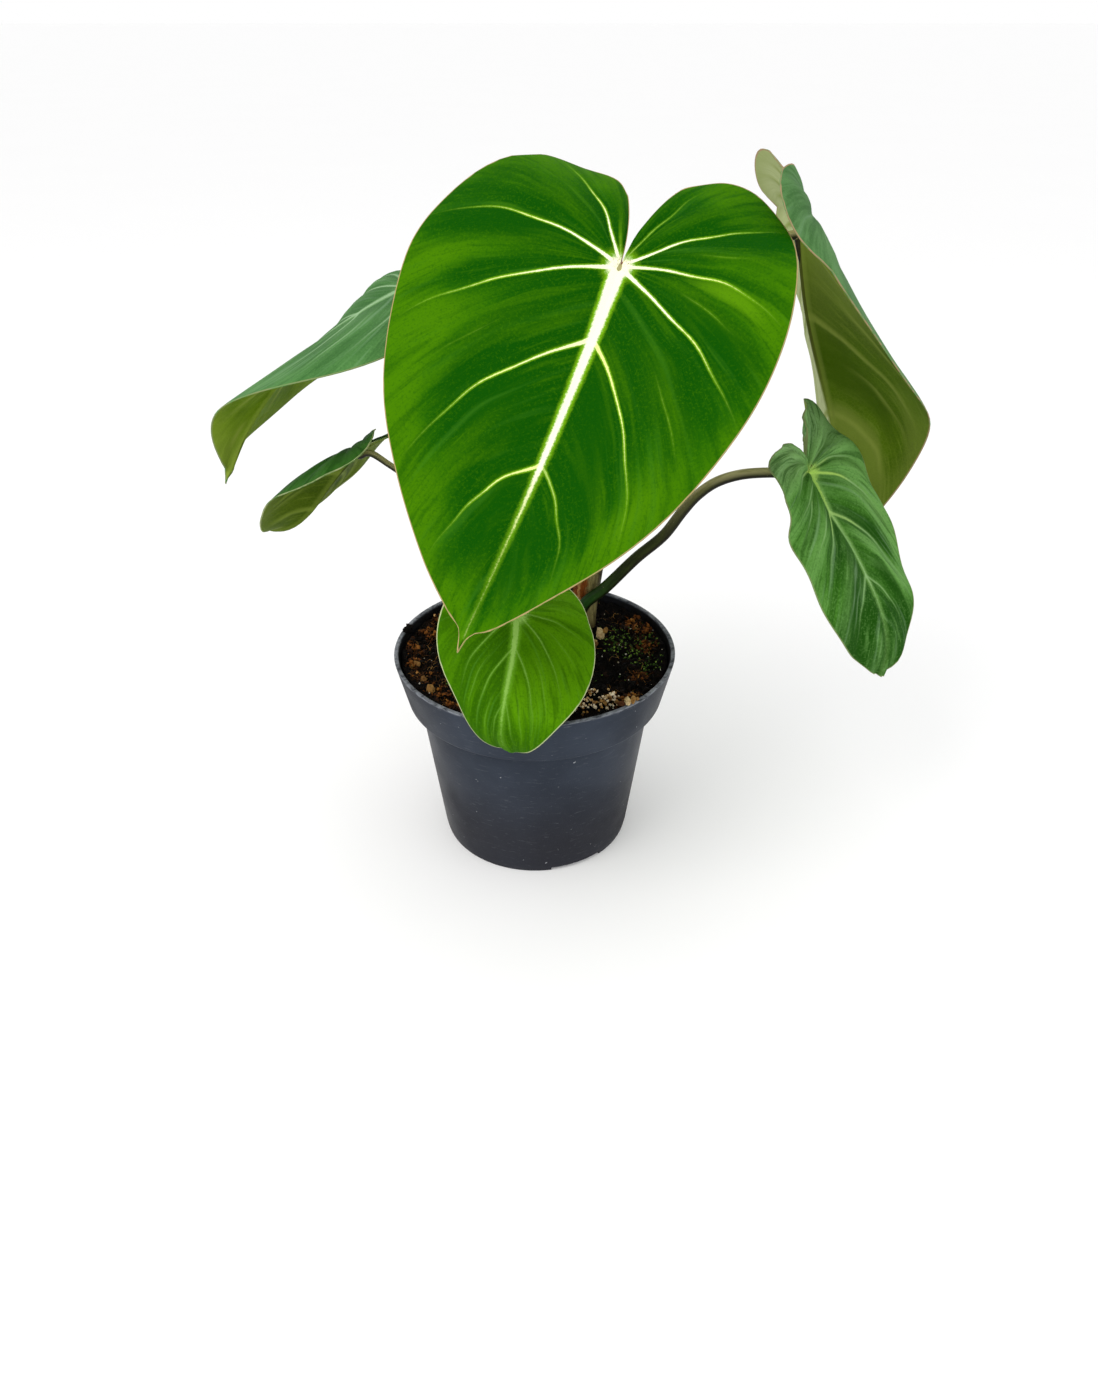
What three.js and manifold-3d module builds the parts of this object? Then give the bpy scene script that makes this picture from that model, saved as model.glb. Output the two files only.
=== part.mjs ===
// A potted Philodendron gloriosum: a young plant with six heart-shaped leaves in a 12 cm nursery pot.
// Units are millimetres, +Z is up, and the origin is the centre of the pot's underside.
// The plant is seen from -Y. Leaves are bent sheets: a flat heart outline, folded along its midrib,
// curled towards its margins and laid along a drooping midrib line.

import * as THREE from 'three';
import { mergeVertices } from 'three/addons/utils/BufferGeometryUtils.js';
import Module from 'manifold-3d';

// Pot
const POT_HEIGHT = 91;
const RIM_RADIUS = 60;
const BASE_RADIUS = 42;
const WALL = 1.5;
const BAND_BOTTOM = 70;
const BAND_RADIUS = 56;
const WALL_TOP_RADIUS = 50.5;
const FLOOR_TOP = 3.4;
const UNDERSIDE = { disc: 22, recess: 1.6, footRing: 37.5 };
const POT_SEGMENTS = 56;
const DRAIN = { count: 6, radius: 4, ring: 30, sides: 12 };
const FOOT_GAP = { count: 3, width: 24, height: 1.8, first: -63.5 };

// Soil
const SOIL_LEVEL = 84.5;
const MOUND = 2.2;
const CLODS = [0.9, 0.5];
const SOIL_RINGS = 7;
const SOIL_SEGMENTS = 42;

// Clearance to the pot and round a stalk in its hole, and the thickness of a leaf's blade
const GAP = 0.3;
const HOLE_GAP = 0.35;
const BLADE = 0.8;

// Half outline of a leaf from the back of its lobe to its tip. x is in half widths. y is in lobe
// lengths behind the stalk's junction and in blade lengths before it.
const HALF_OUTLINE = [
  [0.10, -0.72], [0.20, -0.92], [0.38, -1.02], [0.62, -0.93], [0.84, -0.55], [0.975, 0.0], [1.0, 0.16],
  [0.95, 0.34], [0.81, 0.53], [0.59, 0.71], [0.34, 0.86], [0.13, 0.955], [0.045, 0.985], [0.0, 1.04],
];

// Main veins of one half. Each is [station on the outline, share of the midrib where it leaves,
// first angle off the midrib in degrees, reach of that direction as a share of its length].
const PLAIN_VEINS = [
  [0, 0, 178, 0.45], [2.2, 0, 156, 0.5], [4.2, 0, 130, 0.55], [5.8, 0, 102, 0.55], [7.2, 0, 66, 0.55],
  [8.6, 0.20, 56, 0.55], [10.0, 0.52, 52, 0.5], [13, 0.93, 0, 0.5],
];
const LARGE_LEFT_VEINS = [
  [0, 0, 178, 0.45], [2.6, 0, 152, 0.5], [5.0, 0, 114, 0.6], [6.9, 0, 72, 0.6],
  [8.8, 0.20, 57, 0.55], [10.1, 0.54, 56, 0.5], [13, 0.93, 0, 0.5],
];
const LARGE_RIGHT_VEINS = [
  [0, 0, 178, 0.45], [2.0, 0, 160, 0.5], [3.9, 0, 126, 0.6], [5.6, 0, 99, 0.6], [7.0, 0, 60, 0.6],
  [9.0, 0.20, 46, 0.6], [10.0, 0.54, 54, 0.5], [13, 0.93, 0, 0.5],
];

const ROWS_PER_VEIN = 3;
const COLUMNS = 8;
const FOLD_STATIONS = [-1, 0, 0.5, 1];
const MIDRIB_REACH = 1.06;
const LOBE_REACH = 1.3;
const PATH_STEPS = 120;
const CURL_STEPS = 16;
const STALK_SIDES = 8;
const STALK_STEPS = 24;

// One entry a leaf. heading lists [share of length, azimuth, elevation, roll] along the midrib.
// Pairs are the two halves: the first is on the left of a viewer whom the leaf points at.
// fold is the half's slope at the midrib and curl the further slope it gains on the way to its margin,
// both in degrees at the lobe's end, the junction, half way and the tip. late is the power of that gain.
// puff is the height of the blade between its veins and wave the margin's ripple and its quickness.
// sinus widens the lobe's inner end and tail shortens the drip tip. seat is the distance from the
// midrib down to the stalk's end.
const LEAVES = {
  leaf_large: {
    junction: [30, -14, 247], length: 136, width: [72, 62], lobe: [44, 42], late: 1.6,
    puff: 1.0, wave: [1.0, 5],
    heading: [[0, -118, -46, 17], [0.5, -125, -48, 20], [1, -127, -46, 19]], lobeDroop: [42, 20],
    fold: [[5, 6, 5, 6], [6, 14, 14, 14]], curl: [[-16, -20, -10, -4], [-12, -4, -6, -1]],
    veins: [LARGE_LEFT_VEINS, LARGE_RIGHT_VEINS],
    sinus: [1, 1.2],
    route: [[22, 25, 83], [22, 24, 100], [27, 20, 145], [33, 14, 195], [34, 4, 230], [31.4, -8, 242.5]],
    stalkRadius: [2.9, 1.9], seat: 1.05,
  },
  leaf_front: {
    junction: [-6, -49, 134], length: 61, width: [28.5, 31.7], lobe: [14, 14], late: 1.6,
    puff: 0.5, wave: [0.5, 4],
    heading: [[0, -90, -42, 16], [0.5, -106, -49, 1], [1, -115, -145, -1]], lobeDroop: [10, 10],
    fold: [[0, 15, -9, 3], [1, -1, -7, 5]], curl: [[-20, -11, -12, -2], [-20, -26, -23, 1]],
    route: [[-1, -7, 80], [-1, -11, 98], [-3, -26, 117], [-6, -41, 126]],
    stalkRadius: [1.9, 1.3], seat: 1.2,
  },
  leaf_right_low: {
    junction: [107.2, 2.5, 168], length: 89, width: [44, 33], lobe: [16.7, 22.4], late: 1.6, puff: 1.1,
    wave: [1.0, 7], sinus: [1, 1.6], tail: 0.955,
    heading: [[0, -35, -55, -13], [0.5, -59, -40, -3], [1, -60, -95, -20]], lobeDroop: [-19, -41],
    fold: [[20, 35, 28, 1], [-22, 17, -17, -7]], curl: [[-26, -19, -31, 7], [-30, -48, 6, -18]],
    route: [
      [16, 13, 81], [17, 14, 94], [21.7, 14.5, 103.5], [30, 14.7, 111], [43, 14, 125.7], [53.7, 12, 137],
      [60.7, 10.5, 148.5], [65.5, 9.5, 155.3], [72.2, 8, 161.5], [81, 5.5, 165.8], [92.4, 2.5, 168],
    ],
    stalkRadius: [2.8, 1.9], seat: 2.3,
  },
  leaf_right_back: {
    junction: [98.7, 27.4, 251], length: 151.5, width: [54.3, 50.3], lobe: [30.6, 23.8], late: 0.9,
    puff: 0.8, wave: [0.8, 5], sinus: [1, 0.65],
    heading: [[0, 14.5, -80, 17.6], [0.5, 43.5, -59, 24.4], [1, 37.8, -85.5, -1.8]], lobeDroop: [15, 18.7],
    fold: [[-41, -9, 12.9, 10.5], [23.6, 49.8, 56.2, 24.5]],
    curl: [[-33.9, -46, -70.3, -13.7], [-13.2, -34.8, 33.6, 13.9]],
    route: [[13, 21, 81], [12, 27, 100], [27, 40, 150], [51, 45, 200], [73, 38, 237.5], [88.7, 27.6, 248.5]],
    stalkRadius: [2.7, 1.7], seat: 1.1,
  },
  leaf_left_back: {
    junction: [-47, 27.4, 231.8], length: 106, width: [47.6, 45.3], lobe: [23.5, 30.3], late: 1.6,
    puff: 0.8, wave: [1.0, 5], sinus: [1, 0.78],
    heading: [[0, 206.5, -16.8, 0], [0.5, 183.5, -41.8, -1], [1, 202.3, -64.9, -23.5]], lobeDroop: [5, 12.5],
    fold: [[-15.3, 6.8, -9.9, 11], [6, 1, 15.5, 44]],
    curl: [[-60.8, -55.5, -42.8, -57.2], [-47.8, -15.2, -43.4, 12]],
    route: [[8, 11, 81], [4, 18, 105], [-3, 34, 150], [-18, 38, 195], [-36.5, 31.5, 220.5]],
    stalkRadius: [2.5, 1.6], seat: 1.65,
  },
  leaf_left_low: {
    junction: [-69.2, 13.1, 172.7], length: 81, width: [19, 29.4], lobe: [23.2, 17.6], late: 0.9,
    puff: 0.6, wave: [0.6, 5], sinus: [0.84, 0.83],
    heading: [[0, 143.3, -40, -21.3], [0.5, 152.5, -48.3, -54.5], [1, 134.7, -5, -25.8]],
    lobeDroop: [28.4, -33.6], fold: [[17, 28, 68.6, 56], [-58, 1.7, -1.3, -27.6]],
    curl: [[20.6, -1.8, -20, 11], [0, -64.5, -66, 50]],
    route: [
      [2.5, 2.5, 81], [-1, 4, 98], [-16, 9, 128], [-38, 10, 153], [-57.2, 9.2, 168.7], [-64.7, 10, 173.2],
    ],
    stalkRadius: [2.0, 1.2], seat: 2.0,
  },
};

// Creeping stem, half sunk in the soil, and the dry sheath at its growing end. The sheath wraps the
// stalk by so many degrees at its base and at its tip.
const STEM_PATH = [[-7, -17, 79], [-1, -8, 81], [7, 5, 83], [15, 16, 84], [21, 24, 84.5], [25, 30, 85]];
const STEM_RADII = [3.4, 5.6, 6.4, 6.8, 7, 4.4];
const SHEATH = { base: 87, top: 130, radius: 5.2, flare: 1.8, wall: 0.8, wrap: 280, tip: 36, facing: 265 };

const wasm = await Module();
wasm.setup();

function material(color, roughness) {
  return new THREE.MeshStandardMaterial({ color, roughness, metalness: 0 });
}

// Smooth interpolation of a list of values given at rising knots
function glide(knots, values, at) {
  const last = knots.length - 1;
  const x = Math.min(Math.max(at, knots[0]), knots[last]);
  let i = 0;
  while (i < last - 1 && x >= knots[i + 1]) i += 1;
  const slope = (k) => (values[k + 1] - values[k]) / (knots[k + 1] - knots[k]);
  const tangent = (k) => {
    if (k === 0) return slope(0);
    if (k === last) return slope(last - 1);
    return (slope(k - 1) + slope(k)) / 2;
  };
  const h = knots[i + 1] - knots[i];
  const s = (x - knots[i]) / h;
  const s2 = s * s;
  const s3 = s2 * s;
  return (2 * s3 - 3 * s2 + 1) * values[i] + (s3 - 2 * s2 + s) * h * tangent(i)
    + (3 * s2 - 2 * s3) * values[i + 1] + (s3 - s2) * h * tangent(i + 1);
}

const column = (rows, k) => rows.map((row) => row[k]);
const indices = (rows) => rows.map((row, i) => i);
const radians = THREE.MathUtils.degToRad;

// Direction of growth, sideways direction and upper normal for a heading in degrees
function headingFrame(azimuth, elevation, roll) {
  const a = radians(azimuth);
  const e = radians(elevation);
  const r = radians(roll);
  const side = new THREE.Vector3(Math.sin(a), -Math.cos(a), 0);
  const up = new THREE.Vector3(-Math.sin(e) * Math.cos(a), -Math.sin(e) * Math.sin(a), Math.cos(e));
  return {
    along: new THREE.Vector3(Math.cos(e) * Math.cos(a), Math.cos(e) * Math.sin(a), Math.sin(e)),
    side: side.clone().multiplyScalar(Math.cos(r)).addScaledVector(up, Math.sin(r)),
    up: up.clone().multiplyScalar(Math.cos(r)).addScaledVector(side, -Math.sin(r)),
  };
}

function headingAt(leaf, share) {
  const knots = column(leaf.heading, 0);
  return headingFrame(...[1, 2, 3].map((k) => glide(knots, column(leaf.heading, k), share)));
}

// Points of the midrib at equal steps from the junction
function midribPath(leaf) {
  const points = [new THREE.Vector3(...leaf.junction)];
  const step = MIDRIB_REACH / PATH_STEPS;
  for (let i = 0; i < PATH_STEPS; i += 1) {
    const { along } = headingAt(leaf, (i + 0.5) * step);
    points.push(points[i].clone().addScaledVector(along, step * leaf.length));
  }
  return points;
}

// Bends a flat point (x across from the midrib, y along it) of one half into space
function bendPoint(leaf, path, half, x, y) {
  const share = THREE.MathUtils.clamp(y / leaf.length, 0, MIDRIB_REACH);
  const at = share / MIDRIB_REACH * PATH_STEPS;
  const i = Math.min(Math.floor(at), PATH_STEPS - 1);
  const point = path[i].clone().lerp(path[i + 1], at - i);
  const { along, side, up } = headingAt(leaf, share);
  const back = THREE.MathUtils.clamp(-y / leaf.lobe[half], 0, LOBE_REACH);
  const angle = radians(leaf.lobeDroop[half]) * back;
  const run = Math.abs(angle) > 1e-6 ? Math.sin(angle) / angle : 1;
  const drop = Math.abs(angle) > 1e-6 ? (1 - Math.cos(angle)) / angle : 0;
  point.addScaledVector(along, -back * leaf.lobe[half] * run);
  point.addScaledVector(up, -back * leaf.lobe[half] * drop);
  const normal = up.clone().multiplyScalar(Math.cos(angle)).addScaledVector(along, -Math.sin(angle));
  const station = y < 0 ? -back : y / leaf.length;
  const fold = radians(glide(FOLD_STATIONS, leaf.fold[half], station));
  const curl = radians(glide(FOLD_STATIONS, leaf.curl[half], station));
  let across = 0;
  let lift = 0;
  for (let k = 0; k < CURL_STEPS; k += 1) {
    const u = Math.abs(x / leaf.width[half]) * (k + 0.5) / CURL_STEPS;
    const slope = fold + curl * u ** leaf.late;
    across += Math.cos(slope) * x / CURL_STEPS;
    lift += Math.sin(slope) * x / CURL_STEPS;
  }
  const hand = half === 0 ? 1 : -1;
  return point.addScaledVector(side, hand * across).addScaledVector(normal, lift);
}

// Outline of one half in millimetres
function outlineOf(leaf, half) {
  const sinus = leaf.sinus?.[half] ?? 1;
  const tail = leaf.tail ?? 1;
  return HALF_OUTLINE.map(([x, y], i) => [
    x * leaf.width[half] * (i === 0 ? sinus : 1),
    y < 0 ? y * leaf.lobe[half] : y * leaf.length * (i === HALF_OUTLINE.length - 1 ? tail : 1),
  ]);
}

// Rows of points of one half. Rows follow the veins and the stretches between them, from the midrib
// to the margin, so that the sheet puffs up between its veins.
function halfRows(leaf, half, path) {
  const veins = (leaf.veins ?? [PLAIN_VEINS, PLAIN_VEINS])[half];
  const outline = outlineOf(leaf, half);
  const fromJunction = veins.filter((vein) => vein[1] === 0).length - 1;
  const rows = [];
  for (let i = 0; i <= (veins.length - 1) * ROWS_PER_VEIN; i += 1) {
    const phase = i / ROWS_PER_VEIN;
    const vein = [0, 1, 2, 3].map((k) => glide(indices(veins), column(veins, k), phase));
    const [station, origin, angle, reach] = vein;
    const rootShare = phase <= fromJunction ? 0 : Math.max(origin, 0);
    const end = [0, 1].map((k) => glide(indices(outline), column(outline, k), station));
    const root = [0, rootShare * leaf.length];
    const pull = Math.hypot(end[0] - root[0], end[1] - root[1]) * reach;
    const middle = [root[0] + Math.sin(radians(angle)) * pull, root[1] + Math.cos(radians(angle)) * pull];
    const between = Math.sin(Math.PI * (phase % 1)) ** 2;
    const row = [];
    for (let j = 0; j <= COLUMNS; j += 1) {
      const t = j / COLUMNS;
      const [x, y] = [0, 1].map((k) => (1 - t) ** 2 * root[k] + 2 * t * (1 - t) * middle[k] + t * t * end[k]);
      const point = bendPoint(leaf, path, half, x, y);
      const wave = leaf.wave[0] * t ** 3 * Math.sin(leaf.wave[1] * station / 2 + half * 2);
      const puff = leaf.puff * between * Math.sin(Math.PI * t ** 0.8);
      const { up } = headingAt(leaf, Math.max(y / leaf.length, 0));
      row.push(point.addScaledVector(up, i === 0 || x === 0 ? 0 : wave * Math.min(station / 2, 1) + puff));
    }
    rows.push(row);
  }
  return { rows, fromJunction: fromJunction * ROWS_PER_VEIN };
}

// The leaf's middle surface: both halves share the junction, the midrib and the tip
function bladeSheet(leaf) {
  const path = midribPath(leaf);
  const points = [path[0].clone()];
  const faces = [];
  const midrib = new Map();
  for (const half of [0, 1]) {
    const { rows, fromJunction } = halfRows(leaf, half, path);
    const ids = rows.map((row, i) => row.map((point, j) => {
      if (j === 0 && i <= fromJunction) return 0;
      const fromTip = rows.length - 1 - i;
      const shared = j === 0 ? `m${fromTip}` : `t${j}`;
      if ((j === 0 || fromTip === 0) && midrib.has(shared)) return midrib.get(shared);
      points.push(point);
      if (j === 0 || fromTip === 0) midrib.set(shared, points.length - 1);
      return points.length - 1;
    }));
    for (let i = 0; i < rows.length - 1; i += 1) {
      for (let j = 0; j < COLUMNS; j += 1) {
        const [a, b, c, d] = [ids[i][j], ids[i][j + 1], ids[i + 1][j + 1], ids[i + 1][j]];
        for (const face of [[a, b, c], [a, c, d]]) {
          if (new Set(face).size === 3) faces.push(half === 0 ? face : [face[0], face[2], face[1]]);
        }
      }
    }
  }
  return { points, faces };
}

// Thickens a sheet to both sides along its vertex normals and closes its open edge
function thicken({ points, faces }, thickness) {
  const normals = points.map(() => new THREE.Vector3());
  for (const [a, b, c] of faces) {
    const n = points[b].clone().sub(points[a]).cross(points[c].clone().sub(points[a]));
    for (const id of [a, b, c]) normals[id].add(n);
  }
  const positions = [];
  for (const sign of [1, -1]) {
    points.forEach((point, i) => {
      positions.push(...point.clone().addScaledVector(normals[i].clone().normalize(), sign * thickness / 2));
    });
  }
  const n = points.length;
  const index = [];
  const open = new Map();
  for (const [a, b, c] of faces) {
    index.push(a, b, c, a + n, c + n, b + n);
    for (const [u, v] of [[a, b], [b, c], [c, a]]) {
      if (!open.delete(`${v},${u}`)) open.set(`${u},${v}`, [u, v]);
    }
  }
  for (const [u, v] of open.values()) index.push(v, u, u + n, v, u + n, v + n);
  return solidGeometry(positions, index);
}

function solidGeometry(positions, index) {
  const geometry = new THREE.BufferGeometry();
  geometry.setAttribute('position', new THREE.Float32BufferAttribute(positions, 3));
  geometry.setIndex(index);
  return geometry;
}

// Joins a run of equal rings into a closed body with flat ends
function loft(rings) {
  const sides = rings[0].length;
  const positions = rings.flat().flatMap((p) => [...p]);
  const index = [];
  for (let i = 0; i < rings.length - 1; i += 1) {
    for (let j = 0; j < sides; j += 1) {
      const k = (j + 1) % sides;
      const [a, b] = [i * sides + j, i * sides + k];
      index.push(a, b, b + sides, a, b + sides, a + sides);
    }
  }
  const capFaces = (ring) => THREE.ShapeUtils.triangulateShape(flatten(ring), []);
  const top = (rings.length - 1) * sides;
  for (const [a, b, c] of capFaces(rings[0])) index.push(a, c, b);
  for (const [a, b, c] of capFaces(rings[rings.length - 1])) index.push(top + a, top + b, top + c);
  return solidGeometry(positions, index);
}

// A ring's points in its own plane, turning anticlockwise
function flatten(ring) {
  const centre = ring.reduce((sum, p) => sum.add(p), new THREE.Vector3()).divideScalar(ring.length);
  const normal = new THREE.Vector3();
  ring.forEach((p, i) => {
    const q = ring[(i + 1) % ring.length];
    normal.add(p.clone().sub(centre).cross(q.clone().sub(centre)));
  });
  normal.normalize();
  const u = ring[0].clone().sub(centre).normalize();
  const v = normal.clone().cross(u);
  return ring.map((p) => new THREE.Vector2(p.clone().sub(centre).dot(u), p.clone().sub(centre).dot(v)));
}

// A round stalk along a path, with its radius gliding from the first value to the last. With extra it
// is thicker and longer at both ends, to cut a hole for the stalk itself.
function stalk(path, radii, sides, steps, extra = 0) {
  const points = path.map((p) => new THREE.Vector3(...p));
  const last = points.length - 1;
  const atStart = points[0].clone().sub(points[1]).setLength(extra);
  const atEnd = points[last].clone().sub(points[last - 1]).setLength(extra);
  points[0].add(atStart);
  points[last].add(atEnd);
  const curve = new THREE.CatmullRomCurve3(points, false, 'centripetal');
  const frames = curve.computeFrenetFrames(steps, false);
  const rings = [];
  for (let i = 0; i <= steps; i += 1) {
    const centre = curve.getPointAt(i / steps);
    const at = i / steps * (radii.length - 1);
    const radius = glide(indices(radii), radii, at) + extra;
    const ring = [];
    for (let j = 0; j < sides; j += 1) {
      const angle = 2 * Math.PI * j / sides;
      ring.push(centre.clone()
        .addScaledVector(frames.normals[i], Math.cos(angle) * radius)
        .addScaledVector(frames.binormals[i], Math.sin(angle) * radius));
    }
    rings.push(ring);
  }
  return loft(rings);
}

function toManifold(geometry) {
  const bare = geometry.clone();
  bare.deleteAttribute('normal');
  bare.deleteAttribute('uv');
  const merged = mergeVertices(bare, 1e-4);
  return new wasm.Manifold(new wasm.Mesh({
    numProp: 3,
    vertProperties: new Float32Array(merged.attributes.position.array),
    triVerts: new Uint32Array(merged.index.array),
  }));
}

function toGeometry(manifold) {
  const mesh = manifold.getMesh();
  return solidGeometry(Array.from(mesh.vertProperties), Array.from(mesh.triVerts));
}

// Cuts the tools out of a body and drops any loose scrap that this leaves
function cut(geometry, tools) {
  const body = tools.reduce((rest, tool) => rest.subtract(toManifold(tool)), toManifold(geometry));
  return toGeometry(body.decompose().sort((a, b) => b.volume() - a.volume())[0]);
}

// The pot's inside from its floor to its rim as [height, radius], with the ledge where the band starts
const LEDGE = BAND_BOTTOM + WALL;
const INSIDE = [
  [FLOOR_TOP, BASE_RADIUS - 1.2], [LEDGE, WALL_TOP_RADIUS - WALL], [LEDGE + 0.6, BAND_RADIUS - WALL],
  [POT_HEIGHT - 0.8, RIM_RADIUS - WALL - 0.4],
];

// Inner radius of the pot at a height
function innerRadius(z) {
  const i = Math.max(INSIDE.findIndex((point) => z <= point[0]), 1);
  const [[z0, r0], [z1, r1]] = [INSIDE[i - 1], INSIDE[i]];
  return THREE.MathUtils.lerp(r0, r1, (z - z0) / (z1 - z0));
}

function potBody() {
  const { disc, recess, footRing } = UNDERSIDE;
  const profile = [
    [0, 0], [disc, 0], [disc + 1, recess], [footRing - 1, recess], [footRing, 0], [BASE_RADIUS - 0.6, 0],
    [BASE_RADIUS, 0.7], [BASE_RADIUS + 0.4, 3.5], [WALL_TOP_RADIUS, BAND_BOTTOM],
    [BAND_RADIUS - 0.6, BAND_BOTTOM], [BAND_RADIUS, BAND_BOTTOM + 0.8], [RIM_RADIUS, POT_HEIGHT - 0.6],
    [RIM_RADIUS - 0.5, POT_HEIGHT], [RIM_RADIUS - WALL - 0.1, POT_HEIGHT],
    ...INSIDE.map(([z, r]) => [r, z]).reverse(), [0, FLOOR_TOP],
  ].map(([x, z]) => new THREE.Vector2(x, z));
  const body = new THREE.LatheGeometry(profile, POT_SEGMENTS).rotateX(Math.PI / 2);
  const tools = [];
  for (let i = 0; i < DRAIN.count; i += 1) {
    const hole = new THREE.CylinderGeometry(DRAIN.radius, DRAIN.radius, 3 * FLOOR_TOP, DRAIN.sides);
    hole.rotateX(Math.PI / 2).translate(DRAIN.ring, 0, 0);
    tools.push(hole.rotateZ(2 * Math.PI * (i + 0.5) / DRAIN.count));
  }
  for (let i = 0; i < FOOT_GAP.count; i += 1) {
    const gap = new THREE.BoxGeometry(2 * (BASE_RADIUS - footRing + 1), FOOT_GAP.width, 2 * FOOT_GAP.height);
    gap.translate(BASE_RADIUS, 0, 0);
    tools.push(gap.rotateZ(radians(FOOT_GAP.first) + 2 * Math.PI * i / FOOT_GAP.count));
  }
  return cut(body, tools);
}

// Height of the soil at a place: a low mound with clods, level where it meets the pot
function soilHeight(x, y) {
  const inside = 1 - Math.min(Math.hypot(x, y) / RIM_RADIUS, 1) ** 4;
  const clods = CLODS[0] * Math.sin(x * 0.31 + 1.3 * Math.sin(y * 0.17)) * Math.cos(y * 0.27 - 0.6)
    + CLODS[1] * Math.sin(x * 0.83 - y * 0.46) * Math.sin(y * 0.71 + 1.1);
  return SOIL_LEVEL + MOUND * inside + clods * (0.3 + 0.7 * inside);
}

function soilBody() {
  const around = (radius, z, heightOf) => Array.from({ length: SOIL_SEGMENTS }, (_, j) => {
    const angle = 2 * Math.PI * j / SOIL_SEGMENTS;
    const [x, y] = [radius * Math.cos(angle), radius * Math.sin(angle)];
    return new THREE.Vector3(x, y, heightOf ? heightOf(x, y) : z);
  });
  const rings = INSIDE.slice(0, 3).map(([z, r]) => around(r - GAP, z + GAP));
  const topRadius = innerRadius(SOIL_LEVEL - 1) - GAP;
  for (let i = SOIL_RINGS; i > 0; i -= 1) rings.push(around(topRadius * i / SOIL_RINGS, 0, soilHeight));
  return loft(rings);
}

// A dry sheath round the large leaf's stalk: an open tube that flares and then narrows to a point
function sheathBody(extra = 0) {
  const path = LEAVES.leaf_large.route.map((p) => new THREE.Vector3(...p));
  const curve = new THREE.CatmullRomCurve3(path, false, 'centripetal');
  const steps = 12;
  const rings = [];
  for (let i = 0; i <= steps; i += 1) {
    const share = i / steps;
    const z = THREE.MathUtils.lerp(SHEATH.base, SHEATH.top, share) - (i === 0 ? extra : 0);
    const centre = curve.getPointAt((z - path[0].z) / curve.getLength());
    const spread = radians(THREE.MathUtils.lerp(SHEATH.wrap, SHEATH.tip, share ** 2.2)) / 2;
    const outer = SHEATH.radius + SHEATH.flare * share + extra;
    const inner = outer - SHEATH.wall - 2 * extra;
    const ring = [];
    for (const [radius, sign] of [[outer, 1], [inner, -1]]) {
      const sweep = spread + extra / radius;
      for (let j = 0; j <= 10; j += 1) {
        const angle = radians(SHEATH.facing) + sign * sweep * (j / 5 - 1);
        const x = centre.x + Math.cos(angle) * radius;
        const y = centre.y + Math.sin(angle) * radius;
        ring.push(new THREE.Vector3(x, y, z));
      }
    }
    rings.push(ring);
  }
  return loft(rings);
}

// The stalk's route: its own points and then the seat under the leaf's junction
function stalkRoute(leaf) {
  const { up } = headingAt(leaf, 0);
  const seat = new THREE.Vector3(...leaf.junction).addScaledVector(up, -leaf.seat);
  return [...leaf.route, [seat.x, seat.y, seat.z]];
}

const plant = new THREE.Group();

function add(name, geometry, surface) {
  const mesh = new THREE.Mesh(geometry, surface);
  mesh.name = name;
  plant.add(mesh);
}

const stalkOf = (leaf, extra = 0) => {
  return stalk(stalkRoute(leaf), leaf.stalkRadius, STALK_SIDES, STALK_STEPS, extra);
};
const stemOf = (extra = 0) => stalk(STEM_PATH, STEM_RADII, 14, 18, extra);
const stalkHoles = Object.values(LEAVES).map((leaf) => stalkOf(leaf, HOLE_GAP));

add('pot', potBody(), material(0x3b4150, 0.5));
add('soil', cut(soilBody(), [stemOf(HOLE_GAP), sheathBody(HOLE_GAP), ...stalkHoles]), material(0x2a1f18, 1));
add('creeping_stem', cut(stemOf(), [sheathBody(HOLE_GAP), ...stalkHoles]), material(0x5a4a2c, 0.9));
add('sheath', sheathBody(), material(0x8a4a2a, 0.8));
for (const [name, leaf] of Object.entries(LEAVES)) {
  add(`${name}_stalk`, stalkOf(leaf), material(0x4a4a22, 0.6));
  add(`${name}_blade`, thicken(bladeSheet(leaf), BLADE), material(0x2f7a1f, 0.7));
}

export default plant;
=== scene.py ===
import math

import bmesh
import bpy
import numpy as np
from bpy.props import FloatProperty, FloatVectorProperty, IntProperty, PointerProperty
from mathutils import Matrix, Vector, noise


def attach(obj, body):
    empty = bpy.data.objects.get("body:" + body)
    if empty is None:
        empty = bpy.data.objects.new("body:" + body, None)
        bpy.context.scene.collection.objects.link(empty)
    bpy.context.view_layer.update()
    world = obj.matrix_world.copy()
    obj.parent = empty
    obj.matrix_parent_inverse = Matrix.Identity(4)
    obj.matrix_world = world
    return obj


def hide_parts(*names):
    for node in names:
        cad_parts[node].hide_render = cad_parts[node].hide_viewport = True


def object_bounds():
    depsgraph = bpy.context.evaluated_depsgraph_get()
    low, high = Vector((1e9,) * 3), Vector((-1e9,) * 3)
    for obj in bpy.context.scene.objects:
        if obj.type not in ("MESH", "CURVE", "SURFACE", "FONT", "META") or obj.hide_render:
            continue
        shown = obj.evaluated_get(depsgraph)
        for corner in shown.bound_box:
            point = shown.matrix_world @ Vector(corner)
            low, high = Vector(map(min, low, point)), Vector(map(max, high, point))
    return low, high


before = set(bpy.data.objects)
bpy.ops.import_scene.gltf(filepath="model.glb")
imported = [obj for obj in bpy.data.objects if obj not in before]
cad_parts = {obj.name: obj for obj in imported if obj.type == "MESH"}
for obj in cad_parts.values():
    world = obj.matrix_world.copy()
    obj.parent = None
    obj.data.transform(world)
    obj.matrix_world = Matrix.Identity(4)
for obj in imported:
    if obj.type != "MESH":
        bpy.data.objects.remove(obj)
CAD_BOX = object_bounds()

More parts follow.
